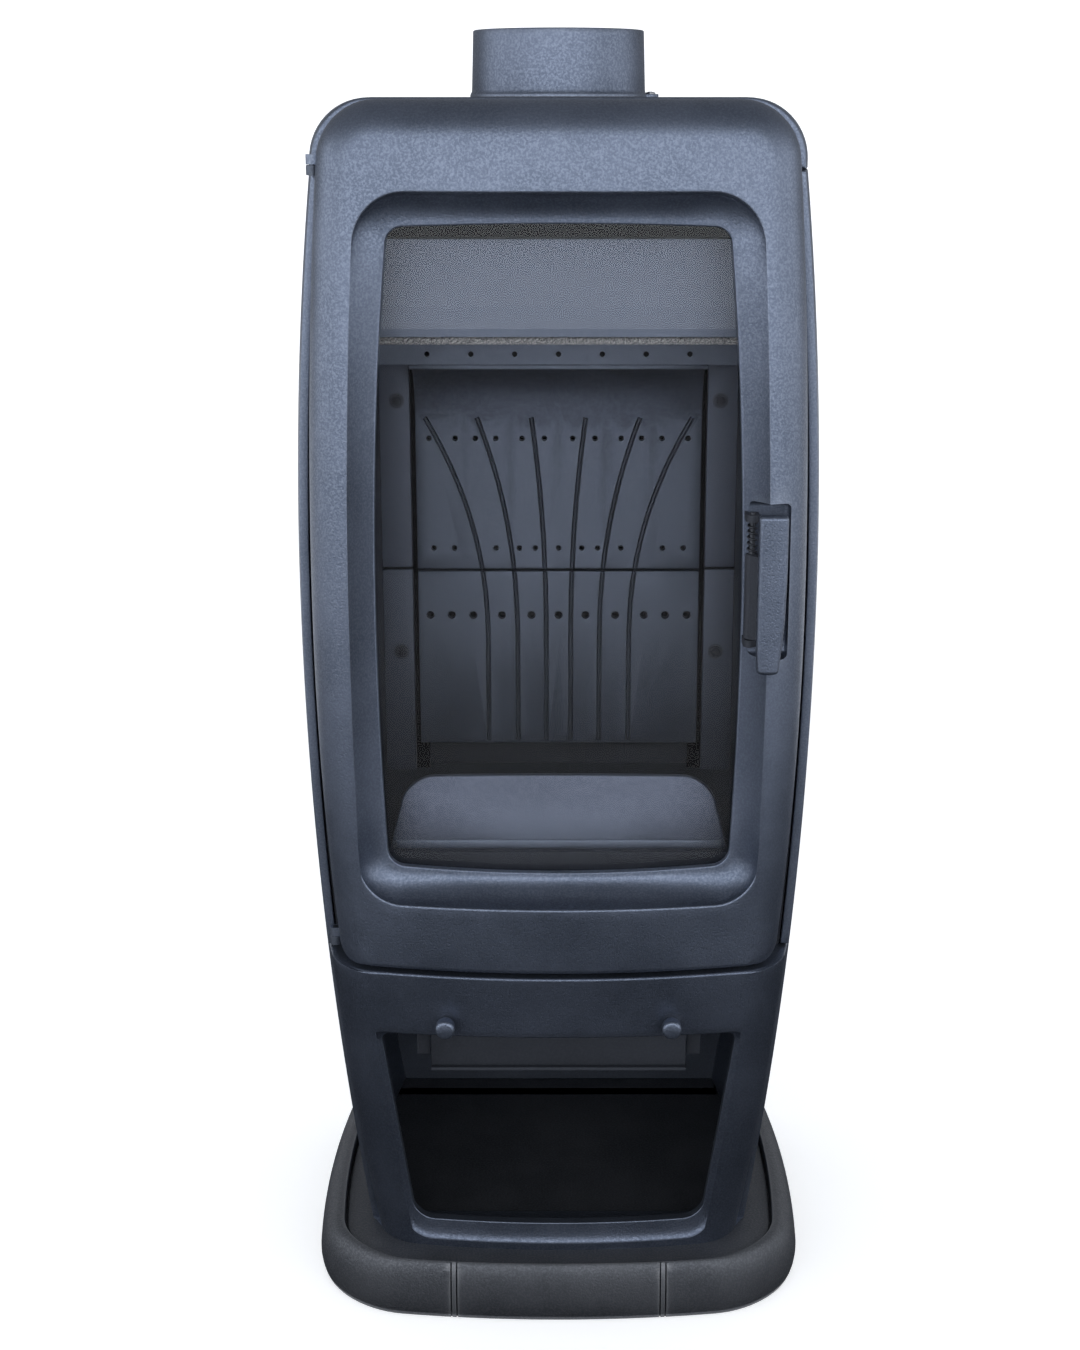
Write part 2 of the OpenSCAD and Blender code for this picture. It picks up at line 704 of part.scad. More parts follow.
module grate() {
  g = 0.6;
  bars = 11;
  pitch = (2 * grate_half - 24) / bars;
  color(dark_iron) difference() {
    block([-grate_half + g, grate_y0 + g, hearth_z - grate_t], [grate_half - g, grate_y1 - g, hearth_z]);
    for (k = [0 : bars - 1]) let (x = -grate_half + 12 + pitch * (k + 0.5))
      block([x - pitch * 0.27, grate_y0 + 14, hearth_z - grate_t - 1],
        [x + pitch * 0.27, grate_y1 - 14, hearth_z + 1]);
  }
}

liner_top = curl_z + curl_r;

module side_liner(notched) {
  color(dark_iron) difference() {
    block([fire_half, frame_back_y + 4, hearth_z], [fire_half + liner_t, back_y + 8, liner_top]);
    if (notched) block([fire_half - 1, frame_back_y - 1, latch_z - 24], [wall_x0, hook_clear_y, latch_z + 24]);
  }
}

module side_liner_right() {
  side_liner(true);
}

module side_liner_left() {
  mirrored() side_liner(false);
}

// Six flutes that run straight up the lower plate and spread towards the top
flute_foot_x = [for (u = [0.088, 0.292, 0.504]) u * flute_half];
flute_top_x = [for (u = [0.19, 0.569, 0.934]) u * flute_half];
flute_w = 3.2;
flute_h = 2.4;
flute_split_z = 560;
flute_end_z = curl_z - 4;
plate_foot = hearth_z + 31;
function flute_x(k, z) = flute_foot_x[k] + (flute_top_x[k] - flute_foot_x[k])
  * (max(0, z - flute_split_z) / (flute_end_z - flute_split_z))^2.2;

module flutes(z0, z1) {
  n = 12;
  for (k = [0 : 2], s = [-1, 1]) upright_plate(concat(
    [for (i = [0 : n]) let (z = z0 + (z1 - z0) * i / n) [s * flute_x(k, z) - flute_w / 2, z]],
    [for (i = [n : -1 : 0]) let (z = z0 + (z1 - z0) * i / n) [s * flute_x(k, z) + flute_w / 2, z]]),
    back_y - flute_h, flute_h + 1);
}

module back_plate_holes(xs, z, r) {
  for (x = xs, s = [-1, 1]) rod_y(s * x * flute_half, z, r, back_y - 5, back_y + 20, 24);
}

bolt_x = fire_half - 17;
bolt_z = [548, 796];
strip_y = back_y + 8;

module back_strips(z0, z1) {
  for (s = [-1, 1]) let (x0 = flute_half - 8, x1 = fire_half)
    block([s > 0 ? x0 : -x1, strip_y, z0], [s > 0 ? x1 : -x0, strip_y + liner_t, z1]);
}

module back_plate_lower() {
  color(dark_iron) difference() {
    union() {
      block([-flute_half, back_y, plate_foot], [flute_half, back_y + 8, back_seam_z - joint_gap / 2]);
      back_strips(hearth_z, back_seam_z - joint_gap / 2);
      flutes(plate_foot + 2, back_seam_z - joint_gap / 2);
    }
    back_plate_holes([0, 0.193, 0.405, 0.61, 0.763, 0.916], back_seam_z - 45, 4);
    for (s = [-1, 1]) rod_y(s * bolt_x, bolt_z[0], screw_r + 0.6, back_y, back_y + 30, 32);
  }
}

module back_plate_upper() {
  z0 = back_seam_z + joint_gap / 2;
  color(dark_iron) difference() {
    union() {
      block([-flute_half, back_y, z0], [flute_half, back_y + 8, curl_z]);
      translate([flute_half, back_y - curl_r, curl_z]) rotate([0, -90, 0]) linear_extrude(2 * flute_half)
        difference() {
          circle(r = curl_r + 5, $fn = 96);
          circle(r = curl_r, $fn = 96);
          translate([-2 * curl_r, -2 * curl_r]) square([2 * curl_r, 4 * curl_r]);
          translate([-1, -2 * curl_r]) square([4 * curl_r, 2 * curl_r]);
        }
      block([-flute_half, baffle_y + 2, curl_z + curl_r], [flute_half, back_y - curl_r, curl_z + curl_r + 5]);
      back_strips(z0, liner_top);
      flutes(z0, flute_end_z);
    }
    back_plate_holes([0.099, 0.255, 0.438, 0.58, 0.723, 0.905], curl_z - 24, 2.75);
    back_plate_holes([0, 0.164, 0.277, 0.442, 0.737, 0.883], back_seam_z + 22, 2.75);
    for (s = [-1, 1]) rod_y(s * bolt_x, bolt_z[1], screw_r + 0.6, back_y, back_y + 30, 32);
  }
}

module back_plate_bolts() {
  color(steel_grey) for (s = [-1, 1], z = bolt_z) union() {
    rod_y(s * bolt_x, z, screw_r, strip_y - 1, chamber_back_y);
    rod_y(s * bolt_x, z, 6, strip_y - 5, strip_y, 6);
  }
}

baffle_z = curl_z + curl_r + 5;

module baffle() {
  y1 = chamber_back_y;
  half = fire_half + liner_t;
  color(dark_iron) difference() {
    block([-half, baffle_y, baffle_z], [half, y1, baffle_z + baffle_h]);
    block([-half + 6, baffle_y + 6, baffle_z + 5], [half - 6, y1 - 4, baffle_z + baffle_h - 5]);
    for (k = [-3 : 3]) rod_y(40 * k, baffle_z + baffle_h / 2, 2.5, baffle_y - 1, baffle_y + 10, 24);
    // slot through which the manifold is fed from the back channel
    block([-half + 60, y1 - 5, baffle_z + 6], [half - 60, y1 + 1, baffle_z + baffle_h - 6]);
  }
}

wash_y = -106;
wash_t = 5;

module air_wash_plate() {
  half = wall_x0;
  color(iron) union() {
    block([-half, wash_y, wash_foot], [half, wash_y + wash_t, wash_foot + wash_h]);
    block([-half, wash_y, wash_foot], [half, wash_y + 16, wash_foot + wash_t]);
    block([-half, wash_y, wash_foot + wash_h - wash_t], [half, wash_y + 30, wash_foot + wash_h]);
  }
}

module air_wash_rope() {
  color(rope_white) translate([-fire_half + 4, wash_y + 9, wash_foot - 3.5]) rotate([0, 90, 0])
    cylinder(r = 3.5, h = 2 * fire_half - 8, $fn = 32);
}

module log_guard() {
  w = glass_half - 3;
  t = 6;
  y = -106;
  color(iron) union() {
    upright_plate(outline(function(v) w - (v - hearth_z) * 0.24, hearth_z, hearth_z + guard_h, 3, 24, 0, 1.5),
      y, t);
    for (s = [-1, 1]) let (x = s * (w - 41))
      block([x - 4, y + t - 1, hearth_z], [x + 4, y + t + 18, hearth_z + 22]);
  }
}

// Ash box, pan and air controls

box_z0 = pan_top + 5;
box_z1 = hearth_z - hearth_t;

module ash_box() {
  color(dark_iron) difference() {
    block([-box_half, box_y0, box_z0], [box_half, box_y1, box_z1]);
    block([-box_half + sheet, box_y0 + sheet, box_z0 + sheet], [box_half - sheet, box_y1 - sheet, box_z1 + 1]);
    block([-pan_half + 8, pan_front_y + 30, box_z0 - 1], [pan_half - 8, box_y1 - 12, box_z0 + sheet + 1]);
    // primary air port in the front wall
    for (s = [-1, 1])
      block([s * control_x - 18, box_y0 - 1, control_z + 8], [s * control_x + 18, box_y0 + 5, control_z + 20]);
  }
}

lip_z = pan_top - 9;
lip_w = 9;
rail_x0 = pan_half + 1.5;
rail_x1 = rail_x0 + lip_w + sheet;

module rail() {
  y0 = pan_front_y + 8;
  color(steel_grey) union() {
    block([rail_x1 - sheet, y0, pan_foot + 10], [rail_x1, box_y1, box_z0]);
    block([rail_x0, y0, lip_z - sheet - slip], [rail_x1, box_y1, lip_z - slip]);
    block([rail_x0, y0, pan_foot + 10], [rail_x1, y0 + sheet, lip_z - slip]);
  }
}

module ash_pan_rails() {
  rail();
  mirrored() rail();
}

module ash_pan() {
  y1 = pan_front_y + pan_len;
  color(steel_grey) difference() {
    union() {
      block([-pan_half, pan_front_y, pan_foot], [pan_half, y1, pan_top]);
      block([-pan_half - lip_w, pan_front_y + 14, lip_z], [pan_half + lip_w, y1, lip_z + 2]);
      // lip along the foot of the front, to pull by
      block([-pan_half, pan_front_y - 6, pan_foot], [pan_half, pan_front_y + 1, pan_foot + 3]);
    }
    block([-pan_half + 2, pan_front_y + 2, pan_foot + 2], [pan_half - 2, y1 - 2, pan_top + 1]);
  }
}

valve_half = 24;
valve_len = 40;
valve_y0 = box_y0 - valve_len - 4;
valve_t = 3;
knob_len = 15;
knob_y = front_y(control_x, control_z) - 3;

module air_valve_plate() {
  z0 = control_z + valve_t / 2 + slip;
  color(dark_iron) union() {
    difference() {
      block([-box_half, valve_y0 + 4, z0], [box_half, box_y0, z0 + sheet]);
      for (s = [-1, 1])
        block([s * control_x - 16, valve_y0 + 8, z0 - 1], [s * control_x + 16, valve_y0 + 26, z0 + 5]);
    }
    // guides under the plate
    for (s = [-1, 1], e = [-1, 1]) let (x = s * control_x + e * (valve_half + slip + 2)) union() {
      block([x - 2, valve_y0 + 4, z0 - valve_t - 2 * slip - 2], [x + 2, box_y0, z0 + 1]);
      block([min(x, x - e * 5), valve_y0 + 4, z0 - valve_t - 2 * slip - 2],
        [max(x, x - e * 5), box_y0, z0 - valve_t - 2 * slip]);
    }
  }
}

module air_rod(x) {
  color(steel_grey) union() {
    rod_y(x, control_z, rod_r, knob_y - 4, valve_y0 + 3.7);
    block([x - valve_half, valve_y0 + 3, control_z - valve_t / 2],
      [x + valve_half, valve_y0 + 34, control_z + valve_t / 2]);
  }
}

module air_knob(x) {
  color(iron) translate([x, knob_y, control_z]) rotate([90, 0, 0]) difference() {
    rotate_extrude($fn = 64) polygon([
      [0, 0], [knob_r - 2.5, 0], [knob_r - 1, 2], [knob_r, 5], [knob_r, knob_len - 2.5],
      [knob_r - 2.5, knob_len], [0, knob_len + 0.6]]);
    translate([0, 0, -1]) cylinder(r = rod_r, h = 5, $fn = 48);
  }
}

module primary_air_rod() { air_rod(-control_x); }
module primary_air_knob() { air_knob(-control_x); }
module secondary_air_rod() { air_rod(control_x); }
module secondary_air_knob() { air_knob(control_x); }

// Tie rods between the hearth level and the top casting

rod_places = [[body_half - 41.7, -94], [body_half - 41.7, 146]];

module tie_rods() {
  color(steel_grey) for (p = rod_places, s = [-1, 1]) translate([s * p.x, p.y, mid_z0 - 12])
    cylinder(r = 3, h = skirt_z + 19 - mid_z0 + 12, $fn = 48);
}

module tie_rod_nuts() {
  color(steel_grey) for (p = rod_places, s = [-1, 1]) translate([s * p.x, p.y, mid_z0 - 9]) difference() {
    cylinder(r = 7, h = 9, $fn = 6);
    translate([0, 0, -1]) cylinder(r = 3.1, h = 12, $fn = 32);
  }
}

// Door

latch_z = 680;
hook_x = grip_pin_x + 15;
keeper_t = 3;
nose_y = frame_back_y + keeper_t + 1;
nose_t = 5;
hook_clear_y = nose_y + nose_t + 3;

// Loop of the door's rounded edge, a = 0 at the side wall and 90 on the face
function edge_loop(a) =
  let (inset = door_edge_r * (1 - cos(a)), depth = door_edge_r * (1 - sin(a)), foot = seam_z + door_gap)
  upright(
    outline(function(v) door_x(v) - inset, foot + foot_round * (1 - cos(a)), door_top - inset,
      door_foot_r - foot_round * (1 - cos(a)) * 0.9, door_corner_r - inset),
    function(x, z) front_y(x, z) + (z > belly_z ? depth
      : side_wrap(x, door_x(z), door_edge_r) + foot_round * (1 - sin(a)) * max(0, 1 - (z - foot) / door_foot_r)));

function recess_loop(grow) = outline(function(v) bow(v, recess_half, 5000, 12000) + grow,
  recess_foot - grow, recess_top + grow, 36 + grow, 40 + grow);
function glass_loop(grow) = outline(function(v) bow(v, glass_half, 3100, 4300) + grow,
  glass_foot - grow, glass_top + grow, 14 + grow, 12 + grow, 8, 3);

function scoop_loop(t) =
  let (outer = recess_loop(0), inner = glass_loop(0), m = 1 - cos(90 * t))
  [for (i = [0 : len(outer) - 1])
    let (p = outer[i] * (1 - m) + inner[i] * m, y0 = front_y(outer[i].x, outer[i].y))
    [p.x, y0 + 1.5 + (land_y - y0 - 1.5) * sin(90 * t), p.y]];

hinge_z = [seam_z + door_gap + 12, skirt_z + 3.5];
lug_h = 8;
pocket_low = [grip_pin_x - 6, blade_y - 26, blade_top - blade_len + 9];
pocket_high = [door_half - 17, land_y - 4, blade_top + 7];
pocket_wall_x = pocket_high.x + 4.5;
clip_grow = 16.8;
clip_places = [[0, 1], [0, -1], [1, 0.55], [-1, 0.55], [1, -0.55], [-1, -0.55]];

// Point on the edge of the glass opening: top or foot middle, or a place on a side
function clip_point(c, grow) =
  let (zm = (glass_top + glass_foot) / 2, zh = (glass_top - glass_foot) / 2)
  c.x == 0 ? [0, c.y > 0 ? glass_top + 3 + grow : glass_foot - 8 - grow]
    : [c.x * (bow(zm + zh * c.y, glass_half, 3100, 4300) + grow), zm + zh * c.y];

module door_casting() {
  rings = concat(
    [upright(outline(function(v) door_x(v), seam_z + door_gap, door_top, door_foot_r, door_corner_r),
      function(x, z) door_back_y)],
    [for (a = [0 : 18 : 90]) edge_loop(a)],
    [upright(recess_loop(2), function(x, z) front_y(x, z))],
    [for (t = [0 : 0.2 : 1]) scoop_loop(t)],
    [
      upright(glass_loop(0), function(x, z) land_y + land_t),
      upright(glass_loop(20), function(x, z) land_y + land_t),
      upright(recess_loop(4), function(x, z) front_y(x, z) + wall + 1),
      upright(inner_loop(24), function(x, z) front_y(x, z) + wall + 1),
      upright(inner_loop(wall), function(x, z) front_y(x, z) + 20),
      upright(inner_loop(wall), function(x, z) door_back_y)
    ]);
  color(iron) difference() {
    union() {
      ring(rings);
      // wall behind the handle's pocket
      block([pocket_low.x + 18, land_y - 10, pocket_low.z - 8],
        [pocket_wall_x, land_y + 4, pocket_high.z + 8]);
      // ears that hold the handle's pin
      for (z = [pocket_low.z + 10, pocket_high.z - 16]) hull() {
        translate([grip_pin_x, grip_pin_y, z]) cylinder(r = pin_r + 3, h = 6, $fn = 32);
        translate([grip_pin_x, land_y, z]) cylinder(r = pin_r + 3, h = 6, $fn = 32);
      }
      // hinge lugs
      for (z = hinge_z) translate([0, 0, z]) union() {
        translate([-hinge_x, hinge_y, 0]) cylinder(r = knuckle_r, h = lug_h, $fn = 64);
        block([-hinge_x, hinge_y - knuckle_r, 0], [-hinge_x + 9, hinge_y + knuckle_r, lug_h]);
      }
      seal_rib();
    }
    // room for the fixed knuckles
    for (z = hinge_z) block([-hinge_x - 12, hinge_y - knuckle_r - 0.8, z - lug_h - 1.5],
      [-hinge_x + knuckle_r + 0.8, door_back_y + 1, z]);
    difference() {
      block(pocket_low, pocket_high);
      for (z = [pocket_low.z + 10, pocket_high.z - 16]) block([grip_pin_x - 7, grip_pin_y - 7, z],
        [grip_pin_x + 7, land_y, z + 6]);
    }
    translate([grip_pin_x, grip_pin_y, pocket_low.z])
      cylinder(r = pin_r, h = pocket_high.z - pocket_low.z, $fn = 48);
    block([hook_x - 5.5, land_y - 8, latch_z - 10], [pocket_wall_x, land_y + 6, latch_z + 10]);
    for (z = hinge_z)
      translate([-hinge_x, hinge_y, z - 1]) cylinder(r = pin_r + pin_clear, h = lug_h + 2, $fn = 48);
    for (c = clip_places) let (p = clip_point(c, clip_grow))
      rod_y(p.x, p.y, screw_r + 0.1, land_y + land_t - 5, land_y + land_t + 1, 32);
  }
}

function inner_loop(inset) = outline(function(v) door_x(v) - inset, seam_z + door_gap + inset,
  door_top - inset, door_foot_r, door_corner_r - inset);

// Outer skin of the door at a place on its face
function skin_y(x, z) =
  let (r = door_corner_r, dx = door_x(z) - abs(x), dz = door_top - z,
    d = dx < r && dz < r ? r - sqrt((r - dx)^2 + (r - dz)^2) : min(dx, dz),
    e = max(0, min(door_edge_r, d)))
  front_y(x, z) + door_edge_r - sqrt(door_edge_r^2 - (door_edge_r - e)^2);

// Rib behind the door's rim that presses on the seal
module seal_rib() {
  outer = rim_loop(-4);
  inner = rim_loop(4);
  ring([
    upright(outer, function(x, z) door_back_y),
    upright(outer, function(x, z) skin_y(x, z) + 4),
    upright(inner, function(x, z) skin_y(x, z) + 4),
    upright(inner, function(x, z) door_back_y)]);
}

gasket_t = 1.5;
glass_y = land_y + land_t + gasket_t;

module door_glass() {
  color([0.25, 0.25, 0.28, 0.5]) upright_plate(glass_loop(glass_lap), glass_y, glass_t);
}

module glass_gasket() {
  y = land_y + land_t;
  color(rope_white) ring([
    upright(glass_loop(glass_lap), function(x, z) y + gasket_t),
    upright(glass_loop(glass_lap), function(x, z) y),
    upright(glass_loop(2), function(x, z) y),
    upright(glass_loop(2), function(x, z) y + gasket_t)]);
}

clip_half = 11;
clip_t = 2;
clip_y = glass_y + glass_t;

// Clip at its screw: its foot stands on the door, its tongue lies on the glass
module clip(c) {
  p = clip_point(c, clip_grow);
  along_x = c.x == 0;
  out = along_x ? [0, c.y] : [c.x, 0];
  difference() {
    union() {
      block([
          p.x - (along_x ? clip_half : (out.x > 0 ? 3.5 : 4)), land_y + land_t,
          p.y - (along_x ? (out.y > 0 ? 3.5 : 4) : clip_half)],
        [p.x + (along_x ? clip_half : (out.x > 0 ? 4 : 3.5)), clip_y + clip_t,
          p.y + (along_x ? (out.y > 0 ? 4 : 3.5) : clip_half)]);
      block([
          p.x - (along_x ? clip_half : (out.x > 0 ? 9 : 3)), clip_y,
          p.y - (along_x ? (out.y > 0 ? 9 : 3) : clip_half)],
        [p.x + (along_x ? clip_half : (out.x > 0 ? 3 : 9)), clip_y + clip_t,
          p.y + (along_x ? (out.y > 0 ? 3 : 9) : clip_half)]);
    }
    rod_y(p.x, p.y, screw_r + 0.1, land_y, clip_y + clip_t + 1, 32);
  }
}

module glass_clips() {
  color(steel_grey) for (c = clip_places) clip(c);
}

module glass_screws() {
  color(steel_grey) for (c = clip_places) let (p = clip_point(c, clip_grow)) union() {
    rod_y(p.x, p.y, screw_r, land_y + land_t - 4, clip_y + clip_t, 32);
    rod_y(p.x, p.y, 3.4, clip_y + clip_t, clip_y + clip_t + 3, 6);
  }
}

module hinge_brackets() {
  color(dark_iron) for (z = hinge_z) translate([0, 0, z - lug_h - 0.5]) difference() {
    union() {
      translate([-hinge_x, hinge_y, 0]) cylinder(r = knuckle_r, h = lug_h, $fn = 64);
      block([-hinge_x - knuckle_r, hinge_y, 0], [-hinge_x + knuckle_r, panel_front_y, lug_h]);
    }
    translate([-hinge_x, hinge_y, -1]) cylinder(r = pin_r, h = lug_h + 2, $fn = 48);
  }
}

module hinge_pins() {
  color(steel_grey) for (z = hinge_z) translate([-hinge_x, hinge_y, z - lug_h - 0.5])
    cylinder(r = pin_r, h = 2 * lug_h + 0.5, $fn = 48);
}

module handle_pin() {
  color(steel_grey) translate([grip_pin_x, grip_pin_y, pocket_low.z + 9])
    cylinder(r = pin_r, h = pocket_high.z - pocket_low.z - 17, $fn = 48);
}

// Latch

knuckle_z = [pocket_low.z + 17, blade_top - 36];
blade_x0 = hook_x - 11.5;

function arc(centre, r, a0, a1) =
  [for (k = [0 : 5]) let (a = a0 + (a1 - a0) * k / 5) centre + r * [cos(a), sin(a)]];

// Outline of the blade: straight on the pin's side, drawn in towards the foot on the other
function blade_outline() =
  let (foot = blade_top - blade_len, x0 = blade_x0, x1 = blade_x0 + blade_w, lean = 1.2, r = 4, top_r = 3)
  concat(
    arc([x0 + lean + r, foot + r], r, 180, 270),
    arc([x0 + lean + blade_foot_w - r, foot + r], r, 270, 360),
    [[x1 - 1, foot + blade_len / 3], [x1, foot + blade_len * 0.6]],
    arc([x1 - top_r, blade_top - top_r], top_r, 0, 90),
    arc([x0 + top_r, blade_top - top_r], top_r, 90, 180));

module handle() {
  color(iron) difference() {
    union() {
      upright_plate(blade_outline(), blade_y, blade_t);
      translate([grip_pin_x, grip_pin_y, knuckle_z[0]])
        cylinder(r = pin_r + 3, h = knuckle_z[1] - knuckle_z[0], $fn = 64);
      // web from the knuckle to the back of the blade
      translate([0, 0, knuckle_z[0]]) linear_extrude(knuckle_z[1] - knuckle_z[0]) polygon([
        [grip_pin_x - 3, grip_pin_y - 4], [hook_x - 5, blade_y + blade_t - 1],
        [hook_x + 4, blade_y + blade_t - 1], [hook_x + 4, blade_y + blade_t + 2],
        [grip_pin_x + 5, grip_pin_y + 2]]);
      // seat of the latch hook
      block([grip_pin_x + 2, grip_pin_y - 4, latch_z - 10], [hook_x - 4, grip_pin_y + 8, latch_z + 10]);
    }
    rod_x(hook_x - 8, hook_x, grip_pin_y + 2, latch_z, screw_r, 32);
    translate([grip_pin_x, grip_pin_y, knuckle_z[0] - 1])
      cylinder(r = pin_r + pin_clear, h = knuckle_z[1] - knuckle_z[0] + 2, $fn = 48);
  }
}

// Flat hook screwed to the handle's right; its nose points left behind the keeper
module latch_hook() {
  color(steel_grey) difference() {
    translate([0, 0, latch_z - 7]) linear_extrude(14) polygon([
      [hook_x - 4, grip_pin_y - 4], [hook_x + 2, grip_pin_y - 4], [hook_x + 2, nose_y + nose_t],
      [hook_x - 12, nose_y + nose_t], [hook_x - 14, nose_y + 1.5], [hook_x - 14, nose_y],
      [hook_x - 4, nose_y]]);
    rod_x(hook_x - 5, hook_x + 3, grip_pin_y + 2, latch_z, screw_r + 0.1, 32);
  }
}

module latch_hook_screw() {
  color(steel_grey) union() {
    rod_x(hook_x - 7, hook_x + 2, grip_pin_y + 2, latch_z, screw_r - 0.05, 32);
    rod_x(hook_x + 2, hook_x + 4.5, grip_pin_y + 2, latch_z, 4.2, 6);
  }
}

// Cylinder along X from x0 to x1
module rod_x(x0, x1, y, z, r, sides) {
  translate([x0, y, z]) rotate([0, 90, 0]) cylinder(r = r, h = x1 - x0, $fn = sides);
}

// Slotted plate behind the frame that the hook passes through
keeper_x = [hook_x - 16, hook_x + 30];
keeper_screws = [-19, 19];

module latch_keeper() {
  color(steel_grey) difference() {
    block([keeper_x[0], frame_back_y, latch_z - 24], [keeper_x[1], frame_back_y + keeper_t, latch_z + 24]);
    block([hook_x - 5.5, frame_back_y - 1, latch_z - 9],
      [hook_x + 23, frame_back_y + keeper_t + 1, latch_z + 9]);
    for (d = keeper_screws)
      rod_y(hook_x + 12, latch_z + d, screw_r + 0.1, frame_back_y - 1, frame_back_y + 4, 32);
  }
}

// Coil of the handle's spring: one open tube wound round the pin
spring_turns = 5;
spring_wire_r = 0.85;
spring_r = pin_r + spring_wire_r + 0.45;
spring_z = [knuckle_z[1] + 1.8, pocket_high.z - 16 - spring_wire_r * sin(60)];
spring_pitch = (spring_z[1] - spring_z[0]) / spring_turns;
spring_gap = spring_pitch - 2 * spring_wire_r;
echo(least_gap_between_coils = spring_gap);
assert(spring_gap > 0.4, "the spring's coils touch");

function coil_ring(t) =
  let (a = 360 * spring_turns * t, z = spring_z[0] + (spring_z[1] - spring_z[0]) * t)
  [for (k = [0 : 5]) let (b = 60 * k, r = spring_r + spring_wire_r * cos(b))
    [grip_pin_x + r * cos(a), grip_pin_y + r * sin(a), z + spring_wire_r * sin(b)]];

module handle_spring() {
  rings = spring_turns * 8;
  color(steel_grey) loft([for (i = [0 : rings]) coil_ring(i / rings)]);
}

plinth();
base_plate();
lower_front();
pedestal_side_left();
pedestal_side_right();
mid_plate();
side_panel_left();
side_panel_right();
top_plate();
rear_panel();
rear_heat_shield();
shield_spacers();
shield_screws();
front_frame();
door_seal();
firebox_wall_left();
firebox_wall_right();
firebox_back();
hearth_plate();
grate();
side_liner_left();
side_liner_right();
back_plate_lower();
back_plate_upper();
back_plate_bolts();
baffle();
air_wash_plate();
air_wash_rope();
log_guard();
ash_box();
ash_pan_rails();
air_valve_plate();
tie_rods();
tie_rod_nuts();
flue_collar();
flue_gasket();
flue_bolts();
hinge_brackets();
hinge_pins();
latch_keeper();
firebox_top();
front_screws();
latch_hook_screw();
door_casting();
door_glass();
glass_gasket();
glass_clips();
glass_screws();
handle_pin();
handle_spring();
handle();
latch_hook();
ash_pan();
primary_air_rod();
primary_air_knob();
secondary_air_rod();
secondary_air_knob();
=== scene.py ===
import json
import math
import bmesh
import bpy
import numpy as np
from mathutils import Matrix, Vector

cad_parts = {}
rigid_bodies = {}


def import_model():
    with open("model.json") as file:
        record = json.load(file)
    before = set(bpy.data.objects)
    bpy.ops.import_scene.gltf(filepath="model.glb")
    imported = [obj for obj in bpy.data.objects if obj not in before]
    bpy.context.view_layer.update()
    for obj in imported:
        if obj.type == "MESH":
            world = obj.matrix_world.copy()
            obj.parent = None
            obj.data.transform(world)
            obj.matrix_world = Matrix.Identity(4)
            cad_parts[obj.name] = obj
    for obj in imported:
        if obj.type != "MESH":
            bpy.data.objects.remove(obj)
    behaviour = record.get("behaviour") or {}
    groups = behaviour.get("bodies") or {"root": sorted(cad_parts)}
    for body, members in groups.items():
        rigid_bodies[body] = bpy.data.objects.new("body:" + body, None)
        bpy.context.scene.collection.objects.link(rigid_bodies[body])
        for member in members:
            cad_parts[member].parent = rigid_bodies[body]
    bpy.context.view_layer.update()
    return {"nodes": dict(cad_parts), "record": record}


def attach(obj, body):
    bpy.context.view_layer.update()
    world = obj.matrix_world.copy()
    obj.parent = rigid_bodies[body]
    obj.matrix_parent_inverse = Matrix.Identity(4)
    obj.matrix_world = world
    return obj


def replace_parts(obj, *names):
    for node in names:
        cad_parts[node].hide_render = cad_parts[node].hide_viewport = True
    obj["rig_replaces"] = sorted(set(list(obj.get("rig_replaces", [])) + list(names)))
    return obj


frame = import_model()
mm = 0.001  # the rules below are in millimetres, meshes in metres
print("frame loaded", len(frame["nodes"]), "castings and fittings")

# camera at the photograph's place
shot = {"eye": (0, -1.830, 1.064), "pitch": 15.5, "focal": 2038, "tall": 1350, "offset": 18.5}


def placed(name, data):
    thing = bpy.data.objects.new(name, data)
    bpy.context.scene.collection.objects.link(thing)
    return thing


camera = placed("camera", bpy.data.cameras.new("camera"))
camera.location = shot["eye"]
camera.rotation_euler = (math.radians(90 - shot["pitch"]), 0, 0)
camera.data.sensor_width = 36
camera.data.lens = 36 * shot["focal"] / shot["tall"]
camera.data.shift_x = -shot["offset"] / shot["tall"]
bpy.context.scene.camera = camera


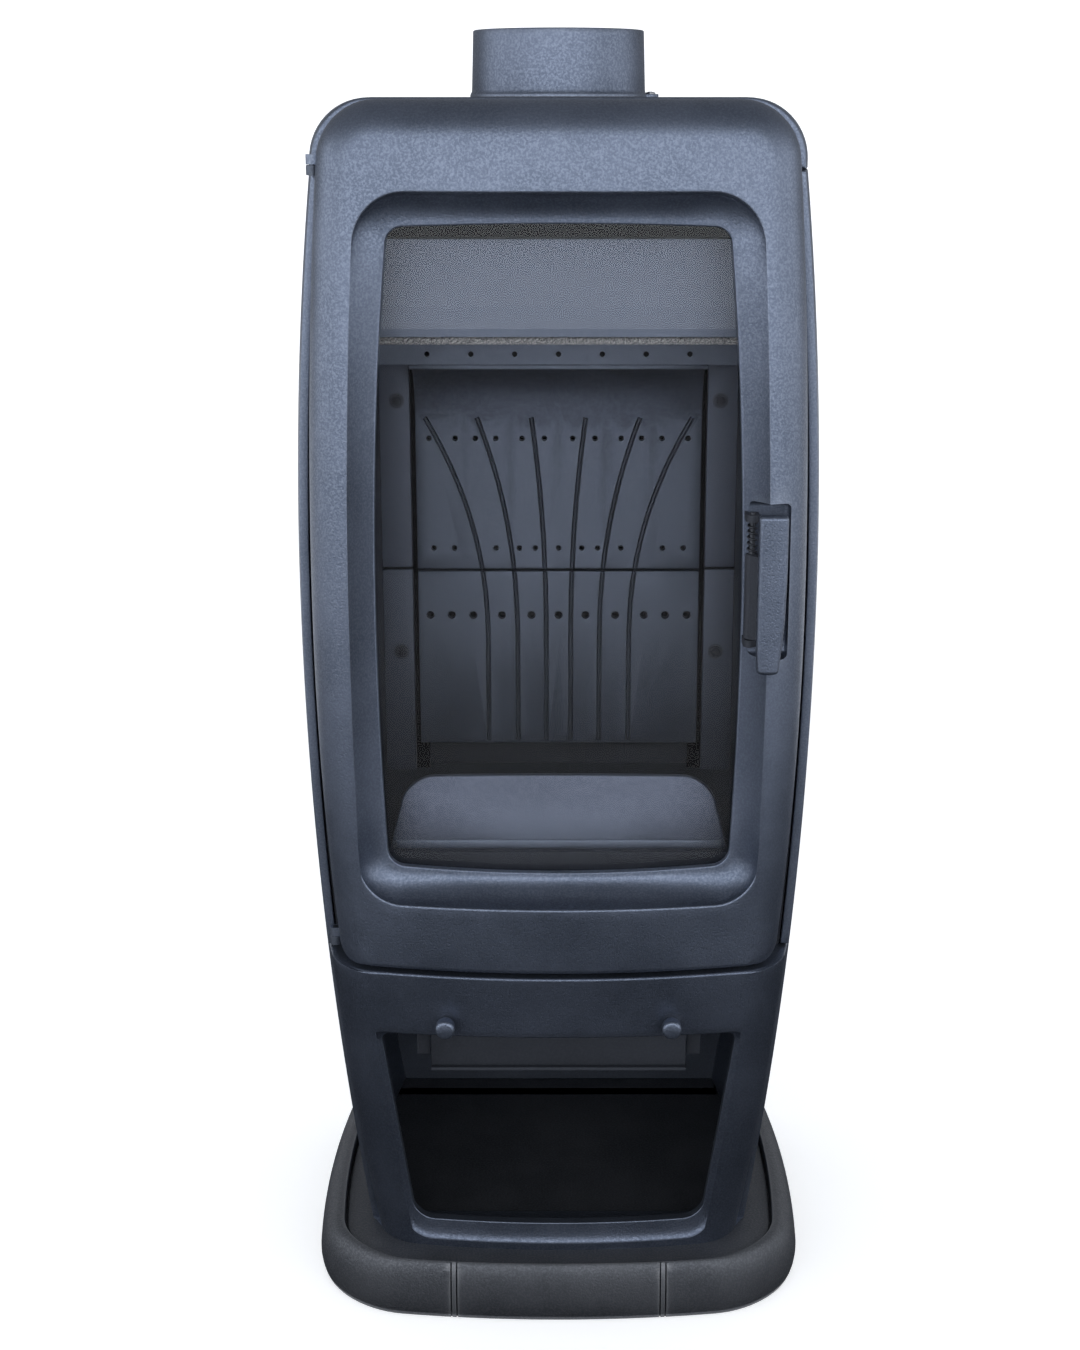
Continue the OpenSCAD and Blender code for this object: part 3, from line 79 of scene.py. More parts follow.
# node trees, for materials and for geometry
class Wire:
    def __init__(self, tree, socket=None):
        self.tree, self.socket = tree, socket

    def node(self, kind, settings=None, sockets=None, out=0):
        made = self.tree.nodes.new(kind)
        for key, value in (settings or {}).items():
            setattr(made, key, value)
        for key, value in (sockets or {}).items():
            for one in value if isinstance(value, list) else [value]:
                if isinstance(one, Wire):
                    self.tree.links.new(one.socket, made.inputs[key])
                else:
                    made.inputs[key].default_value = one
        return Wire(self.tree, made.outputs[out]) if made.outputs else made

    def maths(self, operation, a, b=0.0):
        return self.node("ShaderNodeMath", {"operation": operation}, {0: a, 1: b})

    def __add__(self, other): return self.maths("ADD", self, other)
    def __radd__(self, other): return self.maths("ADD", other, self)
    def __sub__(self, other): return self.maths("SUBTRACT", self, other)
    def __mul__(self, other): return self.maths("MULTIPLY", self, other)
    def __rmul__(self, other): return self.maths("MULTIPLY", other, self)
    def __truediv__(self, other): return self.maths("DIVIDE", self, other)
    def __neg__(self): return self.maths("MULTIPLY", self, -1.0)

    def blend(self, a, b):
        return self.node("ShaderNodeMix", {"data_type": "RGBA"}, {0: self, 6: a, 7: b}, out=2)

    def ramp(self, low, high):
        return self.node("ShaderNodeMapRange", {"interpolation_type": "SMOOTHSTEP"}, {0: self, 1: low, 2: high})

    def noise(self, at, scale, detail, rough=0.5):
        return self.node("ShaderNodeTexNoise", sockets={
            "Vector": at, "Scale": scale, "Detail": detail, "Roughness": rough})

    def bumps(self, height, strength, distance):
        return self.node("ShaderNodeBump", sockets={"Strength": strength, "Distance": distance, "Height": height})

    def vector(self, x, y, z):
        return self.node("ShaderNodeCombineXYZ", sockets={0: x, 1: y, 2: z})

    def here(self):
        return self.node("ShaderNodeTexCoord", out=3)

    def principled(self, sockets):
        return self.node("ShaderNodeBsdfPrincipled", sockets=sockets)

    def geo(self, kind, sockets, **settings):
        return self.node("GeometryNode" + kind, settings, sockets)

    def moved(self, shape, **how):
        return self.geo("Transform", {"Geometry": shape, **how})

    def cylinder(self, sides, r, depth):
        return self.geo("MeshCylinder", {"Vertices": sides, "Radius": r, "Depth": depth}, fill_type="NGON")

    def coil(self, count, turns, r, height):
        return self.geo("CurveSpiral", {
            "Resolution": count, "Rotations": turns, "Start Radius": r, "End Radius": r, "Height": height})

    def ring(self, count, r):
        return self.geo("CurvePrimitiveCircle", {"Resolution": count, "Radius": r}, mode="RADIUS")

    def swept(self, path, section):
        return self.geo("CurveToMesh", {"Curve": path, "Profile Curve": section, "Fill Caps": True})


def newMaterial(name):
    material = bpy.data.materials.new(name)
    material.use_nodes = True
    material.node_tree.nodes.clear()
    return material, Wire(material.node_tree)


def closeMaterial(wire, surface):
    wire.node("ShaderNodeOutputMaterial", sockets={"Surface": surface})


def castIron(name, look):
    # sprayed stove paint on sand-cast iron: two tones, fine flecks, sand grain and shallow flow marks
    material, wire = newMaterial(name)
    at = wire.here()
    cloud, grain = wire.noise(at, look["cloud"], 5.0, 0.6), wire.noise(at, look["grain"], 3.0, 0.62)
    sand = wire.noise(at, look["grain"] * 2.7, 2.0)
    pits = wire.node("ShaderNodeTexVoronoi", {"feature": "F1"}, {"Vector": at, "Scale": look["grain"] * 0.8})
    # paler on sharp edges, found by pointiness: partly rubbed paint, partly a painted highlight along the rims
    wearAndGlint = wire.node("ShaderNodeNewGeometry", out="Pointiness").ramp(0.502, 0.56)
    fleck = grain.ramp(0.40, 0.66)
    tone = cloud.ramp(0.3, 0.7).blend(look["dark"], look["light"])
    tone = (fleck * look["fleck"]).blend(tone, look["fleckTone"])
    tone = (wearAndGlint * look["wearAndGlint"]).blend(tone, look["edge"])
    rough = look["rough"] + (cloud - 0.5) * 0.12 - (fleck - 0.5) * 0.10
    height = grain * 0.55 + sand * 0.3 + pits.ramp(0.0, 0.5) * look["pits"] + cloud * 0.6
    bump = wire.bumps(height, look["bump"], 0.0006)
    closeMaterial(wire, wire.principled({
        "Base Color": tone, "Roughness": rough, "Metallic": look["metal"], "Specular IOR Level": look["gloss"],
        "Normal": bump}))
    return material


def bareSteel(name, look):
    # drawn or rolled steel: streaks one way, faint stains and scuffs
    material, wire = newMaterial(name)
    at = wire.here()
    drawn = wire.node("ShaderNodeMapping", sockets={"Vector": at, "Scale": look["stretch"]})
    streak = wire.noise(drawn, 180.0, 4.0)
    stain = wire.noise(at, 26.0, 5.0)
    tone = stain.ramp(0.35, 0.7).blend(look["dark"], look["light"])
    rough = look["rough"] + (streak - 0.5) * 0.25 + (stain - 0.5) * 0.2
    bump = wire.bumps(streak + stain * 0.5, 0.25, 0.0002)
    closeMaterial(wire, wire.principled({
        "Base Color": tone, "Roughness": rough, "Metallic": look["metal"], "Normal": bump}))
    return material


def ropeFibre(name, look):
    material, wire = newMaterial(name)
    at = wire.here()
    fibre = wire.noise(at, 900.0, 4.0)
    knit = wire.node("ShaderNodeTexVoronoi", sockets={"Vector": at, "Scale": look["knit"]})
    tone = fibre.ramp(0.3, 0.7).blend(look["dark"], look["light"])
    bump = wire.bumps(fibre + knit * 1.5, 0.8, 0.0006)
    closeMaterial(wire, wire.principled({"Base Color": tone, "Roughness": 0.95, "Normal": bump}))
    return material


def stoveGlass(name):
    # ceramic glass with a faint uneven film: lamps pass straight through
    material, wire = newMaterial(name)
    rough = wire.noise(wire.here(), 9.0, 5.0).ramp(0.45, 0.8) * 0.006
    glass = wire.principled({
        "Base Color": (0.90, 0.91, 0.93, 1), "Roughness": rough, "Transmission Weight": 1.0, "IOR": 1.2})
    passing = wire.node("ShaderNodeBsdfTransparent", sockets={"Color": (0.92, 0.93, 0.95, 1)})
    lamp = wire.node("ShaderNodeLightPath", out="Is Shadow Ray")
    closeMaterial(wire, wire.node("ShaderNodeMixShader", sockets={0: lamp, 1: glass, 2: passing}))
    return material


outsidePaint = dict(dark=(0.085, 0.102, 0.142, 1), light=(0.115, 0.135, 0.185, 1), edge=(0.20, 0.225, 0.28, 1),
                    fleckTone=(0.17, 0.195, 0.25, 1), fleck=0.5, wearAndGlint=0.4, cloud=14.0, grain=520.0, rough=0.44,
                    metal=0.90, gloss=0.5, bump=0.5, pits=0.25)
# the plinth's pale edge tone and strong edge share paint a highlight along its rims
plinthPaint = dict(outsidePaint, dark=(0.052, 0.056, 0.066, 1), light=(0.080, 0.084, 0.096, 1),
                   edge=(0.19, 0.195, 0.21, 1), fleckTone=(0.12, 0.125, 0.14, 1), wearAndGlint=0.7, rough=0.56, metal=0.75,
                   bump=0.6)
# darker copy of the outside paint for the lower casting: painted shade for the lower body getting less light
lowerPaint = dict(outsidePaint, dark=(0.068, 0.082, 0.114, 1), light=(0.092, 0.108, 0.148, 1),
                  fleckTone=(0.15, 0.17, 0.22, 1), rough=0.42)
guardPaint = dict(outsidePaint, dark=(0.064, 0.072, 0.098, 1), light=(0.088, 0.098, 0.130, 1),
                  fleckTone=(0.125, 0.138, 0.178, 1), grain=430.0, rough=0.50, bump=0.32)
insidePaint = dict(outsidePaint, dark=(0.044, 0.051, 0.070, 1), light=(0.064, 0.073, 0.098, 1),
                   edge=(0.12, 0.135, 0.17, 1), fleckTone=(0.092, 0.104, 0.136, 1), rough=0.54, metal=0.84, fleck=0.4,
                   wearAndGlint=0.5, cloud=9.0, grain=430.0, bump=0.25, pits=0.0)
# near-black paint: real soot on the firebox castings, grate and bolts, and painted shade on the pin ears and handle
# root in the handle pocket
sootPaint = dict(insidePaint, dark=(0.014, 0.016, 0.022, 1), light=(0.024, 0.027, 0.036, 1),
                 edge=(0.05, 0.055, 0.07, 1), fleckTone=(0.028, 0.031, 0.040, 1), rough=0.66, metal=0.5)
# darker copy of the inside paint for the strips beside the back plates: painted shade
shadePaint = dict(insidePaint, dark=(0.032, 0.037, 0.052, 1), light=(0.049, 0.056, 0.075, 1),
                  edge=(0.09, 0.10, 0.13, 1), fleckTone=(0.058, 0.065, 0.088, 1), metal=0.7)
sheetPaint = dict(outsidePaint, dark=(0.030, 0.036, 0.050, 1), light=(0.045, 0.052, 0.070, 1),
                  fleckTone=(0.07, 0.08, 0.1, 1), grain=900.0, rough=0.55, bump=0.2, metal=0.8, pits=0.0)
plinthFinish = castIron("plinthPaint", plinthPaint)
lowerShadedFinish = castIron("lowerPaint", lowerPaint)
guardFinish = castIron("guardPaint", guardPaint)
sootAndShadeFinish = castIron("sootPaint", sootPaint)
shadeFinish = castIron("shadePaint", shadePaint)
# near-black matt paint for the gaps beside the back plates and the sheet behind their holes: painted shade
deepSoot, wire = newMaterial("deepSoot")
closeMaterial(wire, wire.principled({
    "Base Color": (0.006, 0.006, 0.008, 1), "Roughness": 0.95, "Specular IOR Level": 0.05}))
# dark steel for pins, hooks and the spring, kept extra dark so that the pin and spring in the handle pocket read dark:
# partly painted shade
darkSteel = bareSteel("darkSteel", {"dark": (0.03, 0.032, 0.038, 1), "light": (0.06, 0.064, 0.075, 1),
                                    "stretch": (1.0, 1.0, 0.08), "rough": 0.45, "metal": 0.9})
finishes = {
    "casting": castIron("castingPaint", outsidePaint),
    "inner_casting": castIron("innerPaint", insidePaint),
    "black_steel": castIron("sheetPaint", sheetPaint),
    "plain_steel": bareSteel("plainSteel", {"dark": (0.20, 0.20, 0.21, 1), "light": (0.34, 0.34, 0.35, 1),
                                            "stretch": (1.0, 1.0, 0.08), "rough": 0.38, "metal": 0.9}),
    "rope": ropeFibre("sealRope", {"dark": (0.045, 0.045, 0.05, 1), "light": (0.11, 0.11, 0.12, 1), "knit": 420.0}),
    "glass": stoveGlass("ceramicGlass"),
}
print("materials ready")

# rules that the castings share
stove = dict(half=235, reach=208, bellyZ=660, upperBow=3200, lowerBow=3800, frontPlan=780, sidePlan=900, sideMidY=35,
             topZ=1074, shoulder=50, skirtZ=1018, seamZ=336, bodyY=-121, rearY=186, wall=8, joint=1.5)


def bowed(z, full, upper, lower):
    return full - (z - stove["bellyZ"]) ** 2 / (2 * (upper if z > stove["bellyZ"] else lower))


def taper(z):
    return -bowed(z, 0, stove["upperBow"], stove["lowerBow"])


def frontY(x, z):
    return -stove["reach"] + taper(z) + x * x / (2 * stove["frontPlan"])


def sideX(y, z):
    return stove["half"] - taper(z) - (y - stove["sideMidY"]) ** 2 / (2 * stove["sidePlan"])


def sine(a): return math.sin(math.radians(a))
def cosine(a): return math.cos(math.radians(a))


def steps(a, b, n):
    return [a + (b - a) * i / n for i in range(n + 1)]


def outline(halfAt, foot, top, footR, topR, footCrown=0, topCrown=0, corner=12, side=44, edge=28):
    # loop round a casting: halfAt gives its half width at each height, with rounded corners and crowned ends
    right = []
    for a in steps(0, 90, corner):
        v = foot + footR * (1 - cosine(a))
        right.append((halfAt(v) - footR * (1 - sine(a)), v))
    right += [(halfAt(v), v) for v in steps(foot + footR, top - topR, side)[1:-1]]
    for a in steps(0, 90, corner):
        v = top - topR * (1 - sine(a))
        right.append((halfAt(v) - topR * (1 - cosine(a)), v))
    xTop, xFoot = right[-1][0], right[0][0]
    loop = right + [(x, top) for x in steps(xTop, -xTop, edge)[1:-1]] + [(-x, v) for x, v in reversed(right)]
    loop += [(x, foot) for x in steps(-xFoot, xFoot, edge)[1:-1]]
    middle = (foot + top) / 2
    return [(x, v + (topCrown if v > middle else -footCrown) * (1 - (x / halfAt(v)) ** 2)) for x, v in loop]


def upright(loop, depth):
    return [(x, depth(x, z), z) for x, z in loop]


def level(loop, z):
    return [(x, y, z) for x, y in loop]


def flatAt(y): return lambda x, z: y
def behind(depth): return lambda x, z: frontY(x, z) + depth


def mixed(a, b, t):
    return [tuple(p * (1 - t) + q * t for p, q in zip(pa, pb)) for pa, pb in zip(a, b)]


def shaded(mesh):
    mesh.polygons.foreach_set("use_smooth", [True] * len(mesh.polygons))
    mesh.set_sharp_from_angle(angle=math.radians(32))
    return mesh


def meshFrom(name, points, faces):
    mesh = bpy.data.meshes.new(name)
    mesh.from_pydata([tuple(c * mm for c in p) for p in points], [], faces)
    mesh.update()
    return tidied(placed(name, mesh))


def tidied(thing, gap=0.00001):
    work = bmesh.new()
    work.from_mesh(thing.data)
    bmesh.ops.remove_doubles(work, verts=work.verts, dist=gap)
    bmesh.ops.recalc_face_normals(work, faces=work.faces)
    work.to_mesh(thing.data)
    work.free()
    shaded(thing.data).update()
    return thing


def stacked(name, loops, closed=False):
    # skin over stacked loops: closed on itself, or with a cap at each end
    n, m = len(loops[0]), len(loops)
    points = [p for loop in loops for p in loop]
    pairs = [(k, (k + 1) % m) for k in range(m if closed else m - 1)]
    faces = [(a * n + i, a * n + (i + 1) % n, b * n + (i + 1) % n, b * n + i) for a, b in pairs for i in range(n)]
    if not closed:
        faces += [tuple(range(n - 1, -1, -1)), tuple((m - 1) * n + i for i in range(n))]
    return meshFrom(name, points, faces)


def turned(name, profile, centre, axis, sides):
    # profile of (radius, along) pairs turned about an axis through centre
    points, faces, n = [], [], len(profile)
    for k in range(sides):
        a = math.radians(360 * k / sides)
        for r, v in profile:
            p = (r * math.cos(a), r * math.sin(a), v) if axis == "Z" else (r * math.cos(a), v, -r * math.sin(a))
            points.append(tuple(c + d for c, d in zip(p, centre)))
    for k in range(sides):
        j = (k + 1) % sides
        faces += [(k * n + i, j * n + i, j * n + (i + 1) % n, k * n + (i + 1) % n) for i in range(n)]
    return meshFrom(name, points, faces)


def box(name, low, high, soften=0.0, segments=3):
    work = bmesh.new()
    middle, size = (Vector(low) + Vector(high)) / 2 * mm, [(h - l) * mm for l, h in zip(low, high)]
    bmesh.ops.create_cube(work, size=1, matrix=Matrix.Translation(middle) @ Matrix.Diagonal((*size, 1)))
    if soften:
        bmesh.ops.bevel(work, geom=work.edges[:], offset=soften * mm, segments=segments, profile=0.5, affect="EDGES")
    mesh = bpy.data.meshes.new(name)
    work.to_mesh(mesh)
    work.free()
    return tidied(placed(name, mesh))


def lowHigh(a, b):
    return tuple(min(p, q) for p, q in zip(a, b)), tuple(max(p, q) for p, q in zip(a, b))


def settled(thing):
    # what the modifiers make, as a plain mesh
    graph = bpy.context.evaluated_depsgraph_get()
    made = bpy.data.meshes.new_from_object(thing.evaluated_get(graph), depsgraph=graph)
    thing.modifiers.clear()
    thing.data = made
    return thing


def carve(thing, cutters, operation="DIFFERENCE"):
    for cutter in cutters:
        cut = thing.modifiers.new("cut", "BOOLEAN")
        cut.operation, cut.object, cut.solver = operation, cutter, "EXACT"
    settled(thing)
    for cutter in cutters:
        bpy.data.objects.remove(cutter)
    return tidied(thing, 0.000002)


def soften(thing, width, segments, angle):
    soft = thing.modifiers.new("soft", "BEVEL")
    soft.width, soft.segments, soft.limit_method, soft.angle_limit = width * mm, segments, "ANGLE", math.radians(angle)


def softened(thing, width, segments, angle=30):
    soften(thing, width, segments, angle)
    return settled(thing)


def joined(name, things):
    work = bmesh.new()
    for thing in things:
        work.from_mesh(thing.data)
        bpy.data.objects.remove(thing)
    mesh = bpy.data.meshes.new(name)
    work.to_mesh(mesh)
    work.free()
    return placed(name, shaded(mesh))


def install(thing, body, slot, *nodes, finish=None):
    thing.data.materials.clear()
    thing.data.materials.append(finish or finishes[slot])
    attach(thing, body)
    if nodes:
        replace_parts(thing, *nodes)
    return thing


socketKind = {float: "NodeSocketFloat", int: "NodeSocketInt", tuple: "NodeSocketVector"}


def geometryTree(name, inputs, plate=False):
    # named inputs with their first values, then the material
    tree = bpy.data.node_groups.new(name, "GeometryNodeTree")
    sockets = tree.interface
    sockets.new_socket("Geometry", in_out="INPUT", socket_type="NodeSocketGeometry")
    if plate:
        sockets.new_socket("Plate", in_out="INPUT", socket_type="NodeSocketObject")
    for label, value in inputs.items():
        sockets.new_socket(label, in_out="INPUT", socket_type=socketKind[type(value)]).default_value = value
    sockets.new_socket("Finish", in_out="INPUT", socket_type="NodeSocketMaterial")
    sockets.new_socket("Geometry", in_out="OUTPUT", socket_type="NodeSocketGeometry")
    start = tree.nodes.new("NodeGroupInput")
    return tree, Wire(tree), {s.name: Wire(tree, s) for s in start.outputs if s.name}


def closeTree(wire, shape, given):
    whole = wire.geo("RealizeInstances", {"Geometry": shape})
    painted = wire.geo("SetMaterial", {"Geometry": whole, "Material": given["Finish"]})
    wire.tree.links.new(painted.socket, wire.tree.nodes.new("NodeGroupOutput").inputs[0])


def grown(name, tree, slot, values, places=(), edges=()):
    # runs a geometry tree on points or lines and keeps the plain mesh
    mesh = bpy.data.meshes.new(name)
    mesh.from_pydata([tuple(c * mm for c in p) for p in places], edges, [])
    thing = placed(name, mesh)
    nodes = thing.modifiers.new("nodes", "NODES")
    nodes.node_group = tree
    identifiers = {item.name: item.identifier for item in tree.interface.items_tree if item.in_out == "INPUT"}
    for label, value in {**values, "Finish": finishes[slot]}.items():
        nodes[identifiers[label]] = value
    return tidied(settled(thing))


# door casting with its scooped recess
door = dict(half=208.5, upperR=5400, lowerR=3350, gap=3.5, topGap=1.5, backY=-124, edgeR=30, cornerR=46, footR=14,
            footRound=5, thick=9, recessHalf=174, recessTop=1001, recessFoot=402, recessUpperR=5000,
            recessLowerR=12000, recessFootR=36, recessTopR=40, recessEdge=2.2, dip=1.5, turn=75, glassHalf=154,
            glassTop=973, glassFoot=430, glassUpperR=3100, glassLowerR=4300, glassFootR=14, glassTopR=12, footCrown=8,
            topCrown=3, glassEdge=1.3, landY=-162, landT=6)
door["foot"] = stove["seamZ"] + door["gap"]
door["top"] = stove["topZ"] - door["topGap"]


def doorX(z): return bowed(z, door["half"], door["upperR"], door["lowerR"])
def recessX(z): return bowed(z, door["recessHalf"], door["recessUpperR"], door["recessLowerR"])
def glassX(z): return bowed(z, door["glassHalf"], door["glassUpperR"], door["glassLowerR"])


def sideWrap(x, half, r):
    s = max(0.0, min(r, abs(x) - (half - r)))
    return r - math.sqrt(r * r - s * s)


def doorEdge(a):
    inset, depth = door["edgeR"] * (1 - cosine(a)), door["edgeR"] * (1 - sine(a))
    curl = door["footRound"] * (1 - cosine(a))

    def fall(x, z):
        if z > stove["bellyZ"]:
            return frontY(x, z) + depth
        near = max(0.0, 1 - (z - door["foot"]) / door["footR"])
        return frontY(x, z) + sideWrap(x, doorX(z), door["edgeR"]) + door["footRound"] * (1 - sine(a)) * near
    return upright(outline(lambda v: doorX(v) - inset, door["foot"] + curl, door["top"] - inset,
                           door["footR"] - curl * 0.9, door["cornerR"] - inset), fall)


def recessLoop(grow):
    return outline(lambda v: recessX(v) + grow, door["recessFoot"] - grow, door["recessTop"] + grow,
                   door["recessFootR"] + grow, door["recessTopR"] + grow)


def glassLoop(grow):
    return outline(lambda v: glassX(v) + grow, door["glassFoot"] - grow, door["glassTop"] + grow,
                   door["glassFootR"] + grow, door["glassTopR"] + grow, door["footCrown"], door["topCrown"])


def innerLoop(inset):
    return outline(lambda v: doorX(v) - inset, door["foot"] + inset, door["top"] - inset,
                   door["footR"], door["cornerR"] - inset)


def sideShare(z):
    # 1 along the recess's upright sides, 0 along its top and foot
    s = max(0.0, min(1.0, min(z - door["recessFoot"], door["recessTop"] - z) / door["turn"]))
    return s * s * (3 - 2 * s)


def creaseY(x, z, a): return frontY(x, z) + door["dip"] * (1 - 0.8 * sideShare(z)) * (1 - cosine(a))
def glassRimY(a): return door["landY"] + door["glassEdge"] * (1 - cosine(a))


def scoop(t):
    # a hollow cove above and below, a straight chamfer at the sides
    loop = []
    for (ox, oz), (ix, iz) in zip(recessLoop(0), glassLoop(door["glassEdge"])):
        y, flat = creaseY(ox, oz, 90), 0.85 * sideShare(oz)
        m = (1 - cosine(90 * t)) * (1 - flat) + t * flat
        fall = sine(90 * t) * (1 - flat) + t * flat
        loop.append((ox * (1 - m) + ix * m, y + (door["landY"] - y) * fall, oz * (1 - m) + iz * m))
    return loop


faceLoop = [(x, z) for x, y, z in doorEdge(90)]
recessRim = recessLoop(door["recessEdge"])
doorRings = [upright(innerLoop(0), flatAt(door["backY"]))]
doorRings += [doorEdge(a) for a in steps(0, 90, 12)]
doorRings += [upright(mixed(faceLoop, recessRim, t), frontY) for t in (0.3, 0.6, 0.85)]
doorRings += [upright(recessLoop(door["recessEdge"] * (1 - sine(a))), lambda x, z, a=a: creaseY(x, z, a))
              for a in steps(0, 90, 4)]
doorRings += [scoop(t) for t in steps(0.04, 1, 16)]
doorRings += [upright(glassLoop(door["glassEdge"] * (1 - sine(a))), lambda x, z, a=a: glassRimY(a))
              for a in steps(20, 90, 4)]
doorRings += [upright(glassLoop(grow), flatAt(door["landY"] + door["landT"])) for grow in (0, 20)]
doorRings += [upright(recessLoop(4), behind(door["thick"])),
              upright(innerLoop(24), behind(door["thick"])),
              upright(innerLoop(8), behind(20)),
              upright(innerLoop(8), flatAt(door["backY"]))]
doorSkin = stacked("door_front", doorRings, closed=True)
latch = dict(pinX=160, pinY=-178, boreR=2.56, ears=(631, 737), earT=6, earR=5.5, earBack=-163,
             pocket=((154, -230, 621), (191.5, -166, 753)), pocketR=5, wall=((172, -172, 613), (196, -158, 761)),
             hookSlot=((169.5, -170, 670), (196, -156, 690)))
hinge = dict(x=-199.5, y=-131, z=(351.5, 1021.5), lug=8, lugWide=9, r=5, boreR=2.56, notchR=5.8, notchOut=12,
             notchDeep=9.5)


def peg(x, y, z0, z1, r, sides=48):
    return turned("peg", [(0, z0), (r, z0), (r, z1), (0, z1)], (x, y, 0), "Z", sides)


def pegY(x, z, y0, y1, r, sides=32):
    return turned("peg", [(0, y0), (r, y0), (r, y1), (0, y1)], (x, 0, z), "Y", sides)


hingeX, hingeY, lugR = hinge["x"], hinge["y"], hinge["r"]
carve(doorSkin, [box("wall", *latch["wall"])]
      + [box("lug", (hingeX, hingeY - lugR, z), (hingeX + hinge["lugWide"], hingeY + lugR, z + hinge["lug"]))
         for z in hinge["z"]]
      + [peg(hingeX, hingeY, z, z + hinge["lug"], lugR) for z in hinge["z"]], "UNION")
carve(doorSkin, [box("notch", (hingeX - hinge["notchOut"], hingeY - hinge["notchR"], z - hinge["notchDeep"]),
                     (hingeX + hinge["notchR"], door["backY"] + 1, z)) for z in hinge["z"]]
      + [box("pocket", *latch["pocket"], latch["pocketR"], 4), box("hookSlot", *latch["hookSlot"])]
      + [peg(hingeX, hingeY, z - 1, z + 9, hinge["boreR"]) for z in hinge["z"]])


def earPlan():
    # round towards the front, square where it meets the pocket's back
    x, y, r = latch["pinX"], latch["pinY"], latch["earR"]
    turns = [math.radians(t) for t in steps(-90, 262.5, 47)]
    return [(x + r * math.cos(a), y + r * math.sin(a)) if math.sin(a) < 0 else
            (x + r * (1 if math.cos(a) > 0 else -1), latch["earBack"] + 0.01 * math.sin(a)) for a in turns]


ears = [stacked("ear", [level(earPlan(), v) for v in (z, z + latch["earT"])]) for z in latch["ears"]]
# the pin ears take the near-black paint: painted shade in the handle pocket
install(joined("pin_ears", ears), "door", "casting", finish=sootAndShadeFinish)
install(doorSkin, "door", "casting", "door_casting")
print("door casting", len(doorSkin.data.polygons), "faces")

# lower front casting round the log niche
low = dict(corner=36, backY=-104, daisZ=50, edge=3, thick=9, nicheHalf=145, lean=0.134, nicheTop=272, nicheFoot=76,
           nicheFootR=17, nicheTopR=8, sill=19, bevelOut=8, bevelDeep=6.8, lip=1.2)


def lowX(z): return sideX(-135, z) - 1.5
def nicheX(z): return low["nicheHalf"] + low["lean"] * (z - (low["nicheTop"] + low["nicheFoot"]) / 2)


def lowLoop(a):
    inset, small = low["corner"] * (1 - cosine(a)), low["edge"] * (1 - cosine(a))
    return upright(outline(lambda v: lowX(v) - inset, low["daisZ"], stove["seamZ"] - small, 2, 3),
                   lambda x, z: frontY(x, z) + sideWrap(x, lowX(z), low["corner"])
                   + low["edge"] * (1 - sine(a)) * max(0.0, 1 - (stove["seamZ"] - z) / 6))


def nicheLoop(grow):
    return outline(lambda v: nicheX(v) + grow, low["nicheFoot"] - grow, low["nicheTop"] + grow * 0.5,
                   low["nicheFootR"] + grow, low["nicheTopR"] + grow, 0, 2)


def nicheBevel(t, back):
    wide = outline(lambda v: nicheX(v) + low["bevelOut"], low["nicheFoot"] - low["sill"], low["nicheTop"] + 4,
                   22, 11, 0, 2)
    return upright(mixed(wide, nicheLoop(low["lip"]), t), behind(back))


def lowInner(halfAt, inset, depth):
    return upright(outline(halfAt, low["daisZ"] + inset, stove["seamZ"] - inset, 2, 3), depth)


def lipY(x, z, a): return frontY(x, z) + low["bevelDeep"] + low["lip"] * (1 - cosine(a))


lowFace = [(x, z) for x, y, z in lowLoop(90)]
nicheWide = [(x, z) for x, y, z in nicheBevel(0, 0)]
bevelSteps = ((0, 0.5), (0.06, 1.4), (0.15, 2.6), (0.35, 4.0), (0.6, 5.2), (0.85, 6.2), (1.0, low["bevelDeep"]))
lowRings = [lowInner(lambda v: sideX(low["backY"], v), 0, flatAt(low["backY"]))]
lowRings += [lowLoop(a) for a in steps(0, 90, 12)]
lowRings += [upright(mixed(lowFace, nicheWide, t), frontY) for t in (0.3, 0.6, 0.9, 0.97)]
lowRings += [nicheBevel(t, back) for t, back in bevelSteps]
lowRings += [upright(nicheLoop(low["lip"] * (1 - sine(a))), lambda x, z, a=a: lipY(x, z, a)) for a in steps(25, 90, 3)]
lowRings += [upright(nicheLoop(0), behind(16)),
             lowInner(lambda v: lowX(v) - low["corner"] - 2, 9, behind(low["thick"])),
             lowInner(lambda v: lowX(v) - 12, 8, behind(28)),
             lowInner(lambda v: sideX(low["backY"], v) - 8, 8, flatAt(low["backY"]))]
lowSkin = stacked("lower_casting", lowRings, closed=True)
frontLug = dict(y=-101.7, z=(110, 200), inset=23, half=8, faceX=170, faceY=22, wallIn=34, wallOut=6, wallHalf=9,
                wallDeep=12)


def frontLugX(z): return sideX(frontLug["y"], z) - frontLug["inset"]


lugs = [box("lug", (s * frontLugX(z) - frontLug["half"], frontY(s * frontLug["faceX"], z) + frontLug["faceY"],
                    z - frontLug["half"]),
            (s * frontLugX(z) + frontLug["half"], low["backY"], z + frontLug["half"]), 1.0)
        for z in frontLug["z"] for s in (-1, 1)]
controls = dict(x=99, z=290, holeR=4.3, knobGap=3)
carve(lowSkin, [pegY(s * controls["x"], controls["z"], -210, low["backY"], controls["holeR"]) for s in (-1, 1)])
lowSkin = joined("lower_casting", [lowSkin] + lugs)
# the lower casting takes the darker copy of the outside paint: painted shade
install(lowSkin, "stove", "casting", "lower_front", finish=lowerShadedFinish)
print("lower casting", len(lowSkin.data.polygons), "faces")

